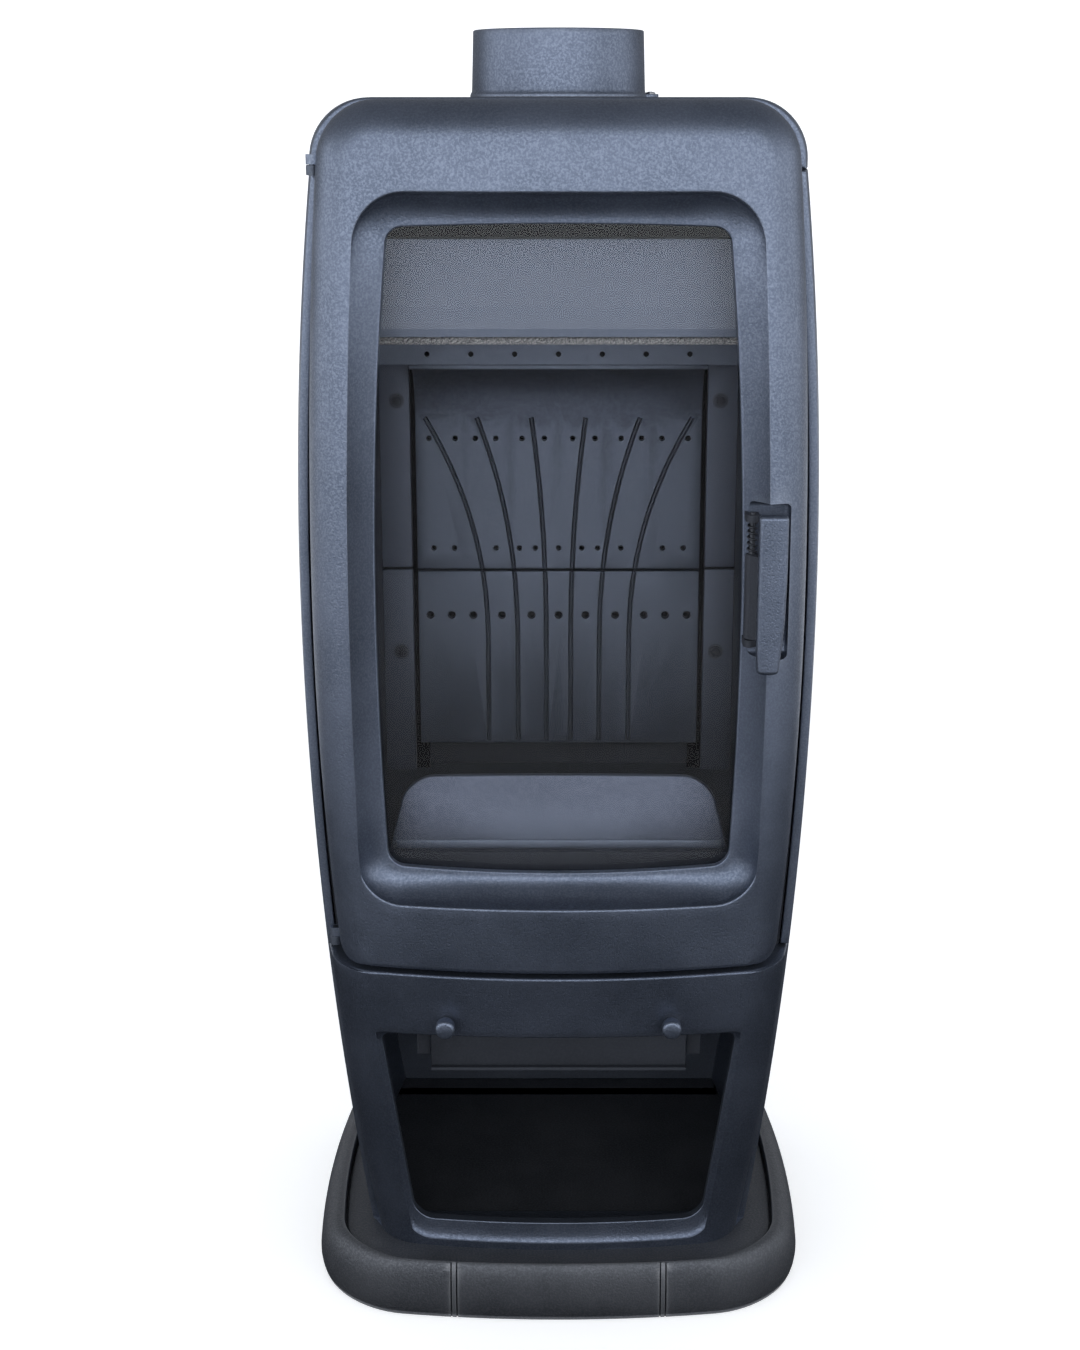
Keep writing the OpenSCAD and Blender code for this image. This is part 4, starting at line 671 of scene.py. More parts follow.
# plinth and the dais that stands in it
plinth = dict(half=230, deep=200, tall=56, frontR=75, rearR=60, bulge=0.42, underCut=14, frontSag=1800, sideSag=2600,
              gap=2.5, ledge=41, ledgeT=8, ledgeWide=14, grooveX=95, groovePitch=5, grooveHalf=0.7)
daisSize = dict(half=204, deep=189, frontR=60, rearR=25, top=50,
                edge=((0, 1.6), (0.25, 0.8), (0.8, 0.25), (1.6, 0), (40, 0)))


def planLoop(size, grow):
    sag = (size["half"] * 0.86) ** 2 / plinth["frontSag"]
    return outline(lambda v: size["half"] + grow - v * v / plinth["sideSag"], -(size["deep"] + grow - sag),
                   size["deep"] + grow, size["frontR"] + grow, size["rearR"] + grow, sag, 0,
                   corner=16, side=30, edge=48)


outerPlan, rimPlan = planLoop(plinth, 0), planLoop(daisSize, plinth["gap"])
bulge = plinth["tall"] * plinth["bulge"]
plinthRings = [level(planLoop(plinth, -plinth["underCut"] * (1 - cosine(a))), bulge * (1 + sine(a) / sine(50)))
               for a in steps(-50, -5, 9)]
plinthRings += [level(mixed(outerPlan, rimPlan, 1 - cosine(a)), bulge + (plinth["tall"] - bulge) * sine(a))
                for a in steps(0, 84, 14)]
ledge, under = plinth["ledge"], plinth["ledge"] - plinth["ledgeT"]
plinthRings += [level(planLoop(daisSize, grow), z) for grow, z in (
    (plinth["gap"] + 0.6, plinth["tall"] - 0.1), (plinth["gap"], plinth["tall"] - 1.0), (plinth["gap"], ledge),
    (-plinth["ledgeWide"], ledge), (-plinth["ledgeWide"], under), (0, under), (0, 0))]
plinthRing = stacked("plinth_ring", plinthRings, closed=True)
grooves = [s * plinth["grooveX"] + d for s in (-1, 1) for d in (-plinth["groovePitch"] / 2, plinth["groovePitch"] / 2)]
carve(plinthRing, [box("groove", (x - plinth["grooveHalf"], -215, -1), (x + plinth["grooveHalf"], -189, 60))
                   for x in grooves])
install(plinthRing, "stove", "casting", "plinth", finish=plinthFinish)
daisRings = [level(planLoop(daisSize, 0), ledge)]
daisRings += [level(planLoop(daisSize, -inset), daisSize["top"] - down) for inset, down in daisSize["edge"]]
install(stacked("dais", daisRings), "stove", "casting", "base_plate", finish=plinthFinish)

# side castings: one bowed wall, grown from its rule
sideTree, wire, given = geometryTree("bowedWall", {
    "Foot": 0.05, "Top": 0.3, "Front": -0.1, "Rear": 0.186, "Half Width": 0.235, "Belly": 0.66, "Upper Bow": 3.2,
    "Lower Bow": 3.8, "Plan Radius": 0.9, "Middle": 0.035, "Wall": 0.008, "Side": 1.0})
sheetGrid = wire.geo("MeshGrid", {"Size X": 1.0, "Size Y": 1.0, "Vertices X": 40, "Vertices Y": 72})
apart = wire.node("ShaderNodeSeparateXYZ", sockets={0: wire.geo("InputPosition", {})}).socket.node.outputs
y = given["Front"] + (given["Rear"] - given["Front"]) * (Wire(wire.tree, apart[0]) + 0.5)
z = given["Foot"] + (given["Top"] - given["Foot"]) * (Wire(wire.tree, apart[1]) + 0.5)
rise = z - given["Belly"]
above = wire.maths("GREATER_THAN", rise, 0.0)
bowRadius = given["Lower Bow"] + (given["Upper Bow"] - given["Lower Bow"]) * above
off = y - given["Middle"]
x = given["Half Width"] - rise * rise / (2 * bowRadius) - off * off / (2 * given["Plan Radius"])
face = wire.geo("SetPosition", {"Geometry": sheetGrid, "Position": wire.vector(x * given["Side"], y, z)})
thick = wire.geo("ExtrudeMesh", {"Mesh": face, "Individual": False, "Offset Scale": given["Wall"],
                                 "Offset": wire.vector(-given["Side"], 0.0, 0.0)}, mode="FACES")
shell = wire.geo("JoinGeometry", {0: [thick, wire.geo("FlipFaces", {0: face})]})
closeTree(wire, wire.geo("MergeByDistance", {"Geometry": shell, "Distance": 0.00001}), given)
sides = dict(upperFoot=338, lowerFoot=50, lowerTop=328, lowerFront=-103.7, edgeR=1.8)


def sideWall(name, side, foot, top, front, node, lugs=()):
    wall = grown(name, sideTree, "casting", {
        "Foot": foot * mm, "Top": top * mm, "Front": front * mm, "Rear": stove["rearY"] * mm, "Side": float(side)})
    wall = tidied(softened(wall, sides["edgeR"], 3, 50))
    if lugs:
        # what the front screws hold in
        y, half, reach = frontLug["y"], frontLug["wallHalf"], {z: sideX(frontLug["y"], z) for z in lugs}
        ends = [lowHigh((side * (reach[z] - frontLug["wallIn"]), y, z - half),
                        (side * (reach[z] - frontLug["wallOut"]), y + frontLug["wallDeep"], z + half)) for z in lugs]
        wall = joined(name, [wall] + [box("lug", *pair, 0.8) for pair in ends])
    install(wall, "stove", "casting", node)


for side, word in ((1, "right"), (-1, "left")):
    sideWall("body_side_" + word, side, sides["upperFoot"], stove["skirtZ"] - stove["joint"], stove["bodyY"],
             "side_panel_" + word)
    sideWall("niche_side_" + word, side, sides["lowerFoot"], sides["lowerTop"], sides["lowerFront"],
             "pedestal_side_" + word, frontLug["z"])
print("side castings ready")


# top casting with its rolled shoulders
def arch(y, inset, fold):
    w, r, top = sideX(y, stove["skirtZ"]) - inset, stove["shoulder"] - inset, stove["topZ"] - inset
    foot = stove["skirtZ"] + fold
    half = [(w, foot), (w, foot + 1)] + [(w - r * (1 - cosine(a)), top - r * (1 - sine(a))) for a in steps(0, 90, 14)]
    half += [(x, top) for x in steps(w - r, 0, 10)[1:]]
    return half + [(-x, z) for x, z in reversed(half[:-1])]


def archLoop(y, e):
    outer, back = arch(y, e, e), arch(y, stove["wall"] - e, e)
    return [(x, y, z) for x, z in outer + list(reversed(back))]


topEdge = 2.2
topFront, topRear = stove["bodyY"], stove["rearY"]
depths = [(topFront + topEdge * (1 - cosine(a)), topEdge * (1 - sine(a))) for a in steps(0, 90, 4)]
topRings = [archLoop(y, e) for y, e in depths]
topRings += [archLoop(y, 0) for y in steps(topFront + topEdge, topRear - topEdge, 24)[1:-1]]
topRings += [archLoop(topFront + topRear - y, e) for y, e in reversed(depths)]
topSkin = stacked("top_casting", topRings)
flue = dict(y=45, r=75, wall=4, tall=57, foot=1075, screwR=81.5, ears=(0, 70, 140), earX=72, earR=9, earT=2.5)
carve(topSkin, [peg(0, flue["y"], 1050, 1090, flue["r"] - flue["wall"], 96)])
install(topSkin, "stove", "casting", "top_plate")

# flue collar with its ears
top, foot = stove["topZ"] + flue["tall"], flue["foot"]
ro, ri = flue["r"], flue["r"] - flue["wall"]
collarProfile = [(ri, foot), (ro + 3, foot), (ro + 3, foot + 1.6), (ro + 2.6, foot + 2.6), (ro + 1.6, foot + 4.2),
                 (ro + 1.4, foot + 7), (ro + 0.1, top - 6), (ro, top - 1.2), (ro - 0.4, top - 0.35), (ro - 1.2, top),
                 (ri + 1.2, top), (ri + 0.35, top - 0.4), (ri, top - 1.2)]
collar = turned("flue_spigot", collarProfile, (0, flue["y"], 0), "Z", 144)


def flueEar(turn):
    x0, r = flue["earX"], flue["earR"]
    plan = [(x0, -r)] + [(flue["screwR"] - 2 + r * cosine(a), r * sine(a)) for a in steps(-90, 90, 16)] + [(x0, r)]
    loops = []
    for z, share in ((foot, 1), (foot + flue["earT"] - 0.5, 1), (foot + flue["earT"], 0.965)):
        small = [(x0 + (x - x0) * share, y * share) for x, y in plan]
        loops.append([(x * cosine(turn) - y * sine(turn), flue["y"] + x * sine(turn) + y * cosine(turn), z)
                      for x, y in small])
    return stacked("ear", loops)


collar = joined("flue_spigot", [collar] + [flueEar(turn) for turn in flue["ears"]])
install(collar, "stove", "casting", "flue_collar")
print("top and flue ready")

# fastener tree: hexagon or round heads with a washer face, set out on points
screwTree, wire, given = geometryTree("fasteners", {
    "Head Radius": 0.005, "Head Height": 0.003, "Washer": 1.15, "Sides": 6, "Turn": (0.0, 0.0, 0.0)})
head = wire.cylinder(given["Sides"], given["Head Radius"], given["Head Height"])
raised = wire.moved(head, Translation=wire.vector(0.0, 0.0, given["Head Height"] * 0.5))
washer = wire.cylinder(28, given["Head Radius"] * given["Washer"], given["Head Height"] * 0.3)
seat = wire.moved(washer, Translation=wire.vector(0.0, 0.0, given["Head Height"] * 0.15))
dome = wire.geo("MeshUVSphere", {"Segments": 20, "Rings": 10, "Radius": given["Head Radius"] * 0.78})
flat = wire.moved(dome, Scale=(1.0, 1.0, 0.22), Translation=wire.vector(0.0, 0.0, given["Head Height"] * 0.98))
one = wire.geo("JoinGeometry", {0: [raised, seat, flat]})
spots = wire.geo("MeshToPoints", {"Mesh": given["Geometry"]})
scatter = wire.geo("InstanceOnPoints", {"Points": spots, "Instance": one, "Rotation": given["Turn"]})
closeTree(wire, scatter, given)


def screws(name, node, places, r, tall, turn, sides=6, washer=1.15, finish=None):
    made = grown(name, screwTree, "plain_steel", {
        "Head Radius": r * mm, "Head Height": tall * mm, "Sides": sides, "Turn": (turn, 0, 0),
        "Washer": washer}, places)
    install(made, "stove", "plain_steel", node, finish=finish)


quarter = math.pi / 2
earTops = [(flue["screwR"] * cosine(a), flue["y"] + flue["screwR"] * sine(a), foot + flue["earT"])
           for a in flue["ears"]]
screws("flue_screws", "flue_bolts", earTops, r=4.2, tall=1.4, turn=0, sides=24, washer=1.02)
screws("niche_screws", "front_screws", [(s * frontLugX(z), frontLug["y"] + frontLug["wallDeep"], z)
                                        for z in frontLug["z"] for s in (-1, 1)], r=5.0, tall=4.6, turn=-quarter)
screws("shield_heads", "shield_screws", [(s * 140, 201, z) for z in (130, 470, 900) for s in (-1, 1)],
       r=4.6, tall=2.4, turn=-quarter, washer=1.05)
screws("liner_bolts", "back_plate_bolts", [(s * 155, 119, z) for z in (548, 796) for s in (-1, 1)],
       r=5.6, tall=3.2, turn=quarter, sides=24, washer=1.3, finish=sootAndShadeFinish)
print("fasteners ready")

# fluted back plates with their drilled rows
panel = dict(half=137, front=111, back=119, foot=456, lowTop=630.9, highFoot=633.3, top=835, curlZ=785, curlR=50,
             curlT=5, splay=560, lowHoles=[((0, 26.5, 55.5, 83.5, 104.5, 125.5), 587, 4)],
             highHoles=[((13.5, 35, 60, 79.5, 99, 124), 761, 2.75), ((0, 22.5, 38, 60.5, 101, 121), 654, 2.75)])
flute = dict(foot=(12, 40, 69), top=(26, 78, 128), wide=3.8, proud=1.3, power=2.2, grooveWide=7, grooveDeep=2.4)


def fluteX(k, z):
    share = max(0.0, z - panel["splay"]) / (panel["curlZ"] - 4 - panel["splay"])
    return flute["foot"][k] + (flute["top"][k] - flute["foot"][k]) * share ** flute["power"]


ribTree, wire, given = geometryTree("castRibs", {"Width": 0.0036, "Proud": 0.0024})
path = wire.geo("MeshToCurve", {"Mesh": given["Geometry"]})
shaped = wire.moved(wire.ring(14, 0.5), Scale=wire.vector(given["Width"], given["Proud"] * 2.0, 1.0))
steady = wire.geo("SetCurveNormal", {"Curve": path, "Normal": (0.0, 1.0, 0.0)}, mode="FREE")
closeTree(wire, wire.swept(steady, shaped), given)


def ribs(name, z0, z1, wide, proud):
    points, edges = [], []
    for k in range(3):
        for s in (-1, 1):
            base, rows = len(points), steps(z0, z1, 40)
            points += [(s * fluteX(k, z), panel["front"], z) for z in rows]
            edges += [(base + i, base + i + 1) for i in range(len(rows) - 1)]
    return grown(name, ribTree, "inner_casting", {"Width": wide * mm, "Proud": proud * mm}, points, edges)


drillTree, wire, given = geometryTree("drilledRows", {"Radius": 0.004}, plate=True)
bit = wire.cylinder(24, given["Radius"], 0.05)
laid = wire.moved(bit, Rotation=(quarter, 0.0, 0.0))
spots = wire.geo("MeshToPoints", {"Mesh": given["Geometry"]})
bits = wire.geo("RealizeInstances", {0: wire.geo("InstanceOnPoints", {"Points": spots, "Instance": laid})})
plate = wire.node("GeometryNodeObjectInfo", {"transform_space": "RELATIVE"}, {"Object": given["Plate"]}, out="Geometry")
drilled = wire.geo("MeshBoolean", {"Mesh 1": plate, "Mesh 2": bits}, operation="DIFFERENCE", solver="EXACT")
closeTree(wire, drilled, given)


def drill(plate, rows):
    name = plate.name
    for xs, z, r in rows:
        places = [(x, panel["front"] + 4, z) for x in sorted({s * x for x in xs for s in (-1, 1)})]
        made = grown(name + "_drilled", drillTree, "inner_casting", {"Plate": plate, "Radius": r * mm}, places)
        bpy.data.objects.remove(plate)
        made.name = name
        plate = made
    return plate


def backPlate(name, node, blank, grooveSpan, ribSpan, holes):
    plate = carve(blank, [ribs("grooves", *grooveSpan, flute["grooveWide"], flute["grooveDeep"])])
    plate = joined(name, [drill(plate, holes), ribs("ribs", *ribSpan, flute["wide"], flute["proud"])])
    install(plate, "stove", "inner_casting", node)


half, front, back, curlZ, curlR = (panel[key] for key in ("half", "front", "back", "curlZ", "curlR"))
lowBlank = box("lower_panel", (-half, front, panel["foot"]), (half, back, panel["lowTop"]), 0.8)
backPlate("back_lower", "back_plate_lower", lowBlank, (459, 640), (459, 630.6), panel["lowHoles"])
curl = [(front, panel["highFoot"]), (front, curlZ)]
curl += [(front - curlR + curlR * cosine(a), curlZ + curlR * sine(a)) for a in steps(6, 90, 16)]
curl += [(41, 835), (40, 836), (40, 839), (41, 840)]
outerCurl = curlR + panel["curlT"]
curl += [(front - curlR + outerCurl * cosine(a), curlZ + outerCurl * sine(a)) for a in steps(90, 40, 10)]
curl += [(back, 800), (back, panel["highFoot"])]
highBlank = stacked("upper_panel", [[(x, y, z) for y, z in curl] for x in (-half, -90, -45, 0, 45, 90, half)])
highBlank = softened(highBlank, 1.0, 2, 60)
backPlate("back_upper", "back_plate_upper", highBlank, (625, 781), (633.6, 780), panel["highHoles"])

# the plain strips beside them, and the dark gaps between
strip = dict(x=(142.5, 172), y=(119, 127), foot=425, gapX=(129, 143.5), gapY=(125.2, 127))
strips = [box("strip", *lowHigh((s * strip["x"][0], strip["y"][0], z0), (s * strip["x"][1], strip["y"][1], z1)), 0.8)
          for s in (1, -1) for z0, z1 in ((strip["foot"], panel["lowTop"]), (panel["highFoot"], panel["top"]))]
# the strips take the darker copy of the inside paint: painted shade
install(joined("plate_strips", strips), "stove", "inner_casting", finish=shadeFinish)
# near-black strips in the gaps and a sheet behind the drilled holes: painted shade
gaps = [box("gap", *lowHigh((s * strip["gapX"][0], strip["gapY"][0], strip["foot"]),
                            (s * strip["gapX"][1], strip["gapY"][1], panel["top"])), 0.3) for s in (-1, 1)]
gaps.append(box("backing", (-half - 1, back + 0.3, panel["foot"] + 1), (half + 1, back + 1.3, curlZ + 1), 0.2))
install(joined("plate_gaps", gaps), "stove", "inner_casting", finish=deepSoot)
print("back plates ready")

# log guard, air wash rope, grate
guard = dict(half=151, lean=0.24, foot=425, tall=67, y=-106, t=6, round=2, footR=3, topR=24,
             roll=((-146, -108, 425), (146, -105.4, 433)), feetX=110, feetHalf=4, feetY=(-101, -82), feetTop=447)


def guardLoop(grow, y):
    plan = outline(lambda v: guard["half"] - (v - guard["foot"]) * guard["lean"] + grow, guard["foot"],
                   guard["foot"] + guard["tall"] + grow, guard["footR"] + grow * 0.5, guard["topR"] + grow, 0, 1.5,
                   corner=10, side=16, edge=24)
    return [(x, y, z) for x, z in plan]


guardRings = [guardLoop(0, guard["y"] + guard["t"])]
guardRings += [guardLoop(-guard["round"] * (1 - cosine(a)), guard["y"] + guard["round"] * (1 - sine(a)))
               for a in (0, *steps(15, 90, 5))]
guardPlate = stacked("guard_plate", guardRings)
feet = [box("foot", (x - guard["feetHalf"], guard["feetY"][0], guard["foot"]),
            (x + guard["feetHalf"], guard["feetY"][1], guard["feetTop"]), 1.0)
        for x in (-guard["feetX"], guard["feetX"])]
guardRoll = box("roll", *guard["roll"], 1.2)
install(joined("guard", [guardPlate, guardRoll] + feet), "stove", "inner_casting", "log_guard", finish=guardFinish)

rope = dict(long=336, r=3.5, lay=19, strands=4, y=-97, z=876.5)
ropeTree, wire, given = geometryTree("plaitedRope", {"Length": 0.3, "Radius": 0.0035, "Lay": 0.012, "Strands": 5})
turns = given["Length"] / given["Lay"]
helix = wire.coil(14, turns, given["Radius"] * 0.55, given["Length"])
strand = wire.swept(helix, wire.ring(8, given["Radius"] * 0.5))
copies = wire.geo("MeshLine", {"Count": given["Strands"], "Offset": (0.0, 0.0, 0.0)})
spinEach = wire.vector(0.0, 0.0, wire.geo("InputIndex", {}) * (2 * math.pi) / given["Strands"])
plait = wire.geo("InstanceOnPoints", {"Points": copies, "Instance": strand, "Rotation": spinEach})
lie = wire.moved(wire.geo("RealizeInstances", {0: plait}), Rotation=(0.0, quarter, 0.0))
centred = wire.moved(lie, Translation=wire.vector(given["Length"] * -0.5, rope["y"] * mm, rope["z"] * mm))
closeTree(wire, centred, given)
washRope = grown("wash_rope", ropeTree, "rope", {
    "Length": rope["long"] * mm, "Radius": rope["r"] * mm, "Lay": rope["lay"] * mm, "Strands": rope["strands"]})
install(washRope, "stove", "rope", "air_wash_rope", finish=ropeFibre("paleRope", {
    "dark": (0.04, 0.04, 0.045, 1), "light": (0.30, 0.29, 0.28, 1), "knit": 420.0}))

grate = dict(bars=12, pitch=200 / 11, wide=8.4, long=124, deep=7.6, railX=111.4, railZ=(417, 424.6),
             rails=((-69.4, -56), (62, 75.4)), round=1.2)
grateTree, wire, given = geometryTree("grateBars", {
    "Bars": 12, "Pitch": 0.018, "Bar Width": 0.0085, "Bar Length": 0.12, "Depth": 0.0075, "Middle Y": 0.003,
    "Top": 0.4246})
bar = wire.geo("MeshCube", {"Size": wire.vector(given["Bar Width"], given["Bar Length"], given["Depth"])})
startX = (given["Bars"] - 1) * given["Pitch"] * -0.5
line = wire.geo("MeshLine", {
    "Count": given["Bars"],
    "Start Location": wire.vector(startX, given["Middle Y"], given["Top"] - given["Depth"] * 0.5),
    "Offset": wire.vector(given["Pitch"], 0.0, 0.0)})
closeTree(wire, wire.geo("InstanceOnPoints", {"Points": line, "Instance": bar}), given)
bars = grown("bars", grateTree, "inner_casting", {
    "Bars": grate["bars"], "Pitch": grate["pitch"] * mm, "Bar Width": grate["wide"] * mm,
    "Bar Length": grate["long"] * mm, "Depth": grate["deep"] * mm})
softened(bars, grate["round"], 2)
rails = [box("rail", (-grate["railX"], y0, grate["railZ"][0]), (grate["railX"], y1, grate["railZ"][1]), grate["round"])
         for y0, y1 in grate["rails"]]
install(joined("fire_grate", [bars] + rails), "stove", "inner_casting", "grate", finish=sootAndShadeFinish)
print("guard, rope and grate ready")

# handle blade, its root and spring; the root is bored for the pin
blade = dict(x0=163.5, wide=24, footWide=17.6, lean=1.2, top=746, foot=612, front=-204, t=9, footR=4, topR=3,
             round=3.4, crown=0.6, rim=0.8)


def cornerDraw(near, r): return r - math.sqrt(max(0.0, r * r - (r - min(near, r)) ** 2))


def bladeSection(z):
    up, long = z - blade["foot"], blade["top"] - blade["foot"]
    x1 = blade["x0"] + blade["wide"]
    bends = ([0.0, long / 3, long * 0.6, long], [blade["x0"] + blade["lean"] + blade["footWide"], x1 - 1, x1, x1])
    draw = cornerDraw(up, blade["footR"]) + cornerDraw(blade["top"] - z, blade["topR"])
    left = blade["x0"] + blade["lean"] * max(0.0, 1 - up / 20) + draw
    right = float(np.interp(up, *bends)) - draw
    front = blade["front"] + cornerDraw(min(up, blade["top"] - z), blade["round"])
    back, rc = blade["front"] + blade["t"], min(blade["round"], (right - left) * 0.45)
    crown, rim = blade["crown"], blade["rim"]
    loop = [(left, back - rim), (left + rim, back), (right - rim, back), (right, back - rim)]
    loop += [(right - rc + rc * cosine(a), front + crown + rc - rc * sine(a)) for a in steps(0, 90, 6)]
    loop += [(right - rc - (right - left - 2 * rc) * u, front + crown * (2 * u - 1) ** 2) for u in steps(0, 1, 6)[1:-1]]
    loop += [(left + rc - rc * sine(a), front + crown + rc - rc * cosine(a)) for a in steps(0, 90, 6)]
    return [(x, min(y, back - 0.01) if i not in (1, 2) else y, z) for i, (x, y) in enumerate(loop)]


rows = [blade["foot"] + 0.05 + blade["footR"] * (1 - cosine(a)) for a in steps(0, 90, 8)]
rows += steps(blade["foot"] + 6, blade["top"] - 5, 30)
rows += [blade["top"] - 4 + 4 * sine(a) for a in steps(0, 85, 8)]
bladeSkin = stacked("grip", [bladeSection(z) for z in rows])
root = dict(foot=638, top=710, r=5.5, edge=0.6, seat=((162, -182, 670), (171, -170, 690)),
            web=[(157, -182), (170, -196), (179, -196), (179, -193), (165, -176)])
small, bore = root["r"] - root["edge"], latch["boreR"]
knuckle = turned("knuckle", [(bore, root["foot"]), (small, root["foot"]), (root["r"], root["foot"] + root["edge"]),
                             (root["r"], root["top"] - root["edge"]), (small, root["top"]), (bore, root["top"])],
                 (latch["pinX"], latch["pinY"], 0), "Z", 48)
web = stacked("web", [level(root["web"], z) for z in (root["foot"] + 0.5, root["top"] - 0.5)])
seatBlock = box("seat", *root["seat"], 0.8)
install(bladeSkin, "handle", "casting", "handle")
# the knuckle, web and seat take the near-black paint: painted shade in the handle pocket
install(joined("grip_root", [knuckle, web, seatBlock]), "handle", "casting", finish=sootAndShadeFinish)

springTree, wire, given = geometryTree("coilSpring", {
    "Turns": 5.0, "Coil Radius": 0.0035, "Wire Radius": 0.0009, "Foot": 0.7118, "Height": 0.0244})
helix = wire.coil(28, given["Turns"], given["Coil Radius"], given["Height"])
coil = wire.swept(helix, wire.ring(12, given["Wire Radius"]))
stand = wire.moved(coil, Translation=wire.vector(latch["pinX"] * mm, latch["pinY"] * mm, given["Foot"]))
closeTree(wire, stand, given)
spring = grown("grip_spring", springTree, "plain_steel", {"Turns": 5.0})
# the spring takes the dark steel instead of plain steel: painted shade in the handle pocket
install(spring, "door", "plain_steel", "handle_spring", finish=darkSteel)

# air control knobs, set in front of the holes for their rods
knobY = frontY(controls["x"], controls["z"]) - controls["knobGap"]
knobProfile = [(0, 0), (6.0, 0), (6.6, -0.5), (7.6, -2.2), (8.35, -4.2), (8.5, -6), (8.5, -12), (8.3, -13.1),
               (7.7, -14.1), (6.8, -14.75), (5.6, -15.05), (3.0, -15.4), (0, -15.6)]
for side, word in ((-1, "primary"), (1, "secondary")):
    knob = turned(word + "_knob", knobProfile, (side * controls["x"], knobY, controls["z"]), "Y", 64)
    install(knob, word + "_air", "casting", word + "_air_knob")
print("handle and knobs ready")

# nodes that keep their own shape: softened edges and the slot's finish
slotOf = {row["node"]: row["material_slot"] for row in frame["record"]["subparts"]}
softBy = {1.5: "hearth_plate side_liner_left side_liner_right", 1.4: "front_frame", 1.2: "air_wash_plate",
          0.8: "firebox_wall_left firebox_wall_right firebox_back firebox_top mid_plate rear_panel", 0.6: "ash_box",
          0.5: "ash_pan ash_pan_rails rear_heat_shield latch_hook",
          0.4: "latch_keeper hinge_brackets glass_clips air_valve_plate door_glass"}
edgeSoft = {name: width for width, names in softBy.items() for name in names.split()}
sooty = ("hearth_plate side_liner_left side_liner_right firebox_back firebox_top firebox_wall_left firebox_wall_right "
         "front_frame ash_pan ash_pan_rails ash_box mid_plate")
ownFinish = {name: sootAndShadeFinish for name in sooty.split()}
for name in ("handle_pin", "hinge_pins", "latch_hook", "latch_hook_screw", "latch_keeper"):
    ownFinish[name] = darkSteel
standsFor = {n for thing in bpy.data.objects for n in thing.get("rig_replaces", [])}
for name, node in frame["nodes"].items():
    if name in standsFor:
        continue
    node.data.materials.clear()
    node.data.materials.append(ownFinish.get(name, finishes[slotOf[name]]))
    if name in edgeSoft:
        node.modifiers.new("weld", "WELD").merge_threshold = 0.00001
        soften(node, edgeSoft[name], 2, 40)
        node.modifiers.new("even", "WEIGHTED_NORMAL").keep_sharp = True
print("carried-over nodes finished")


# floor, sweep and lamps
def eyeOrMirror(wire):
    # over 0 for what the camera sees, directly, in a reflection or through the glass
    seen = wire.node("ShaderNodeLightPath", out="Is Camera Ray")
    rays = seen.socket.node.outputs
    return seen + Wire(wire.tree, rays["Is Glossy Ray"]) + Wire(wire.tree, rays["Is Transmission Ray"])


def paper(name, colour, glow):
    material, wire = newMaterial(name)
    bump = wire.bumps(wire.noise(wire.here(), 60.0, 4.0), 0.05, 0.001)
    matte = wire.principled({"Base Color": colour, "Roughness": 0.9, "Specular IOR Level": 0.1, "Normal": bump})
    light = wire.node("ShaderNodeEmission", sockets={"Color": (1, 1, 1, 1), "Strength": eyeOrMirror(wire) * glow})
    closeMaterial(wire, wire.node("ShaderNodeAddShader", sockets={0: matte, 1: light}))
    return material


sweepY, sweepR = 1.3, 0.9
sweep = [(-3.2, 0.0), (sweepY, 0.0)]
sweep += [(sweepY + sweepR * sine(a), sweepR * (1 - cosine(a))) for a in steps(6, 90, 14)] + [(sweepY + sweepR, 3.2)]
floorMesh = bpy.data.meshes.new("floor")
floorMesh.from_pydata([(x, y, z) for x in (-3.5, 3.5) for y, z in sweep], [],
                      [(i, len(sweep) + i, len(sweep) + i + 1, i + 1) for i in range(len(sweep) - 1)])
floorMesh.polygons.foreach_set("use_smooth", [True] * len(floorMesh.polygons))
floor = placed("floor", floorMesh)
floorMesh.materials.append(paper("palePaper", (0.86, 0.86, 0.87, 1), 0.5))

# black cloth and grey card that only reflections meet, so that the glass stays clear
velvet, wire = newMaterial("velvet")
closeMaterial(wire, wire.node("ShaderNodeBsdfDiffuse", sockets={"Color": (0.02, 0.02, 0.024, 1)}))
card, wire = newMaterial("greyCard")
closeMaterial(wire, wire.node("ShaderNodeEmission", sockets={"Color": (0.93, 0.96, 1.0, 1), "Strength": 0.3}))


def cloth(name, corners, finish=velvet):
    hung = placed(name, bpy.data.meshes.new(name))
    hung.data.from_pydata(corners, [], [(0, 1, 2, 3)])
    hung.data.materials.append(finish)
    hung.visible_camera = hung.visible_shadow = hung.visible_transmission = hung.visible_diffuse = False


def wallCloth(name, x0, y0, x1, y1, foot, top, finish=velvet):
    cloth(name, [(x0, y0, foot), (x1, y1, foot), (x1, y1, top), (x0, y0, top)], finish)


room = dict(side=3.4, rear=2.15, front=-3.3, window=-2.92, tall=3.4, floor=0.004, bright=2.36)


def floorCloth(name, half, y0, y1):
    cloth(name, [(x, y, room["floor"]) for x, y in ((-half, y0), (half, y0), (half, y1), (-half, y1))])


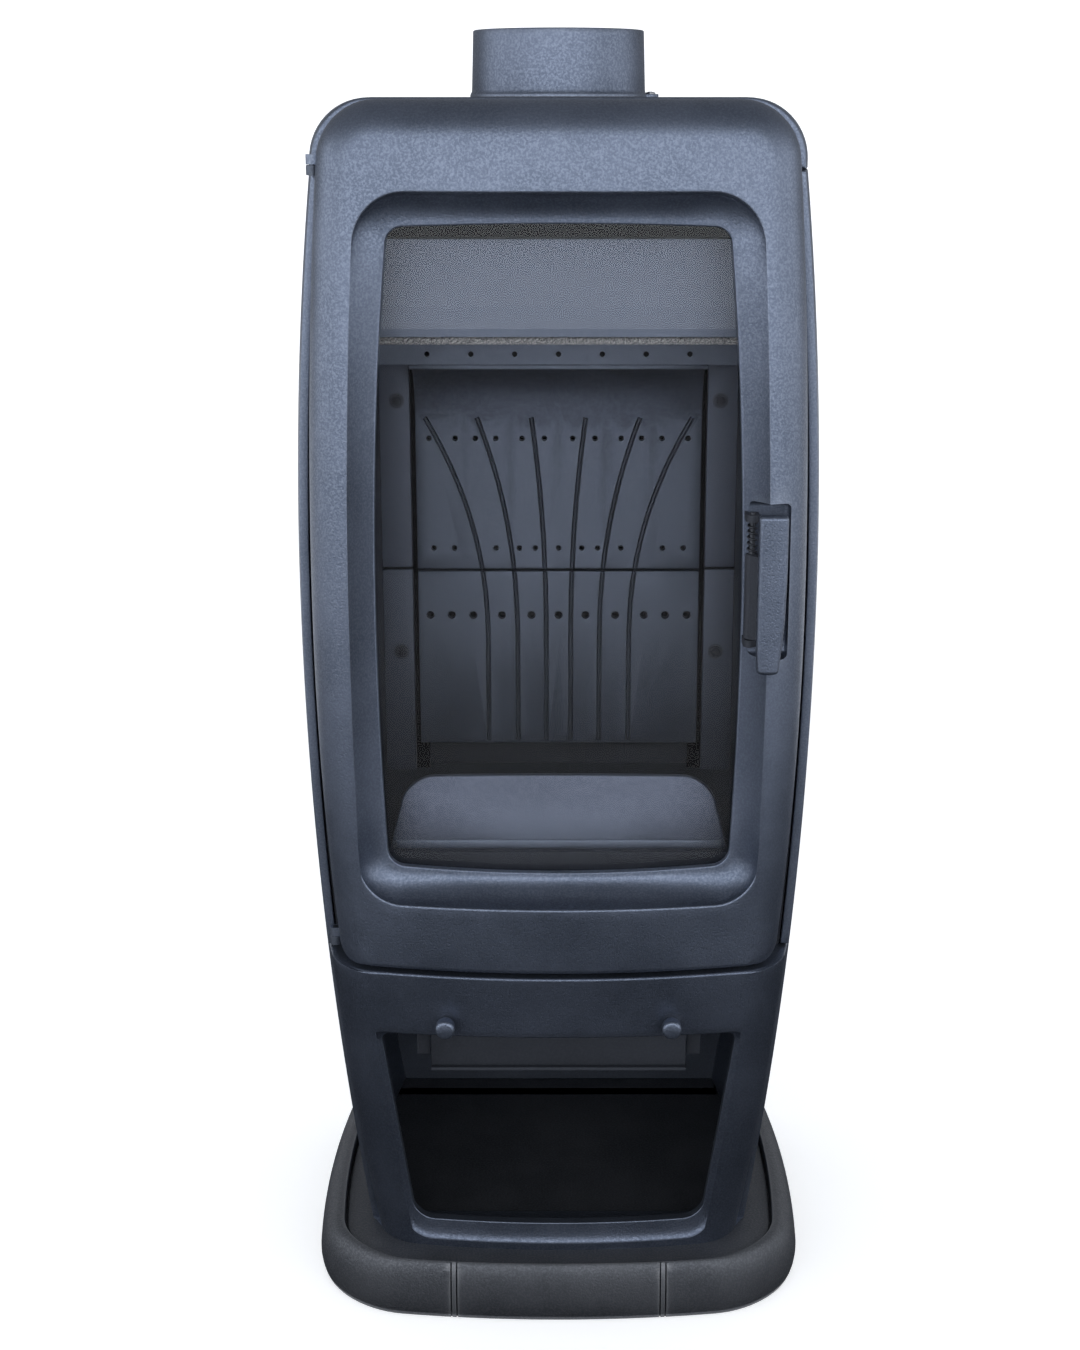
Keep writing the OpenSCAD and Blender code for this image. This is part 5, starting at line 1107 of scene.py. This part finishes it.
floorCloth("cloth_aisle", 1.4, room["front"], -1.3)
floorCloth("cloth_near", 2.4, -1.3, 1.2)
wallCloth("cloth_front", -0.75, room["front"], 0.75, room["front"], room["floor"], 0.62)
wallCloth("card_front", -room["side"], room["window"], room["side"], room["window"], 2.52, room["tall"], card)
wallCloth("card_back", -room["side"], room["rear"], room["side"], room["rear"], room["floor"], room["tall"], card)
cloth("card_top", [(s * room["side"], room[end], room["tall"])
                   for s, end in ((-1, "window"), (1, "window"), (1, "rear"), (-1, "rear"))], card)
for side, word in ((-1, "left"), (1, "right")):
    x, edge = side * (room["side"] - 0.05), side * room["side"]
    wallCloth("card_side_" + word, x, room["window"], x, room["rear"], room["bright"], room["tall"], card)
    wallCloth("card_end_" + word, edge, 1.2, edge, room["rear"], room["floor"], room["bright"], card)


def softbox(name, at, aim, wide, tall, watts, colour, shines=True):
    lamp = placed(name, bpy.data.lights.new(name, "AREA"))
    lamp.data.shape, lamp.data.size, lamp.data.size_y = "RECTANGLE", wide, tall
    lamp.data.energy, lamp.data.color = watts, colour
    lamp.location = at
    lamp.rotation_euler = (Vector(aim) - Vector(at)).to_track_quat("-Z", "Y").to_euler()
    lamp.visible_glossy = shines


daylight = (0.90, 0.95, 1.0)
softbox("window", (0, -2.9, 1.56), (0, 0, 1.56), 6.4, 1.9, 92, daylight)
for side, word, watts in ((-1, "left", 39), (1, "right", 31)):
    softbox("window_" + word, (side * 3.3, -0.85, 1.35), (0, -0.85, 1.35), 4.1, 2.0, watts, daylight)
    softbox("window_low_" + word, (side * 1.98, -2.9, 0.37), (side * 1.98, 0, 0.37), 2.44, 0.46, watts * 0.05, daylight)
softbox("ceiling", (0, 0.2, 3.0), (0, 0.2, 0), 2.6, 2.2, 20, (0.95, 0.97, 1.0), shines=False)

world = bpy.data.worlds.new("studio")
world.use_nodes = True
world.node_tree.nodes.clear()
wire = Wire(world.node_tree)
shown = wire.maths("MINIMUM", eyeOrMirror(wire), 1.0)
fill = wire.node("ShaderNodeBackground", sockets={"Color": (0.93, 0.96, 1.0, 1), "Strength": 0.2})
white = wire.node("ShaderNodeBackground", sockets={"Color": (1, 1, 1, 1), "Strength": 1.0})
wire.node("ShaderNodeOutputWorld", sockets={
    "Surface": wire.node("ShaderNodeMixShader", sockets={0: shown, 1: fill, 2: white})})
bpy.context.scene.world = world
bpy.context.scene.view_settings.view_transform = "Standard"
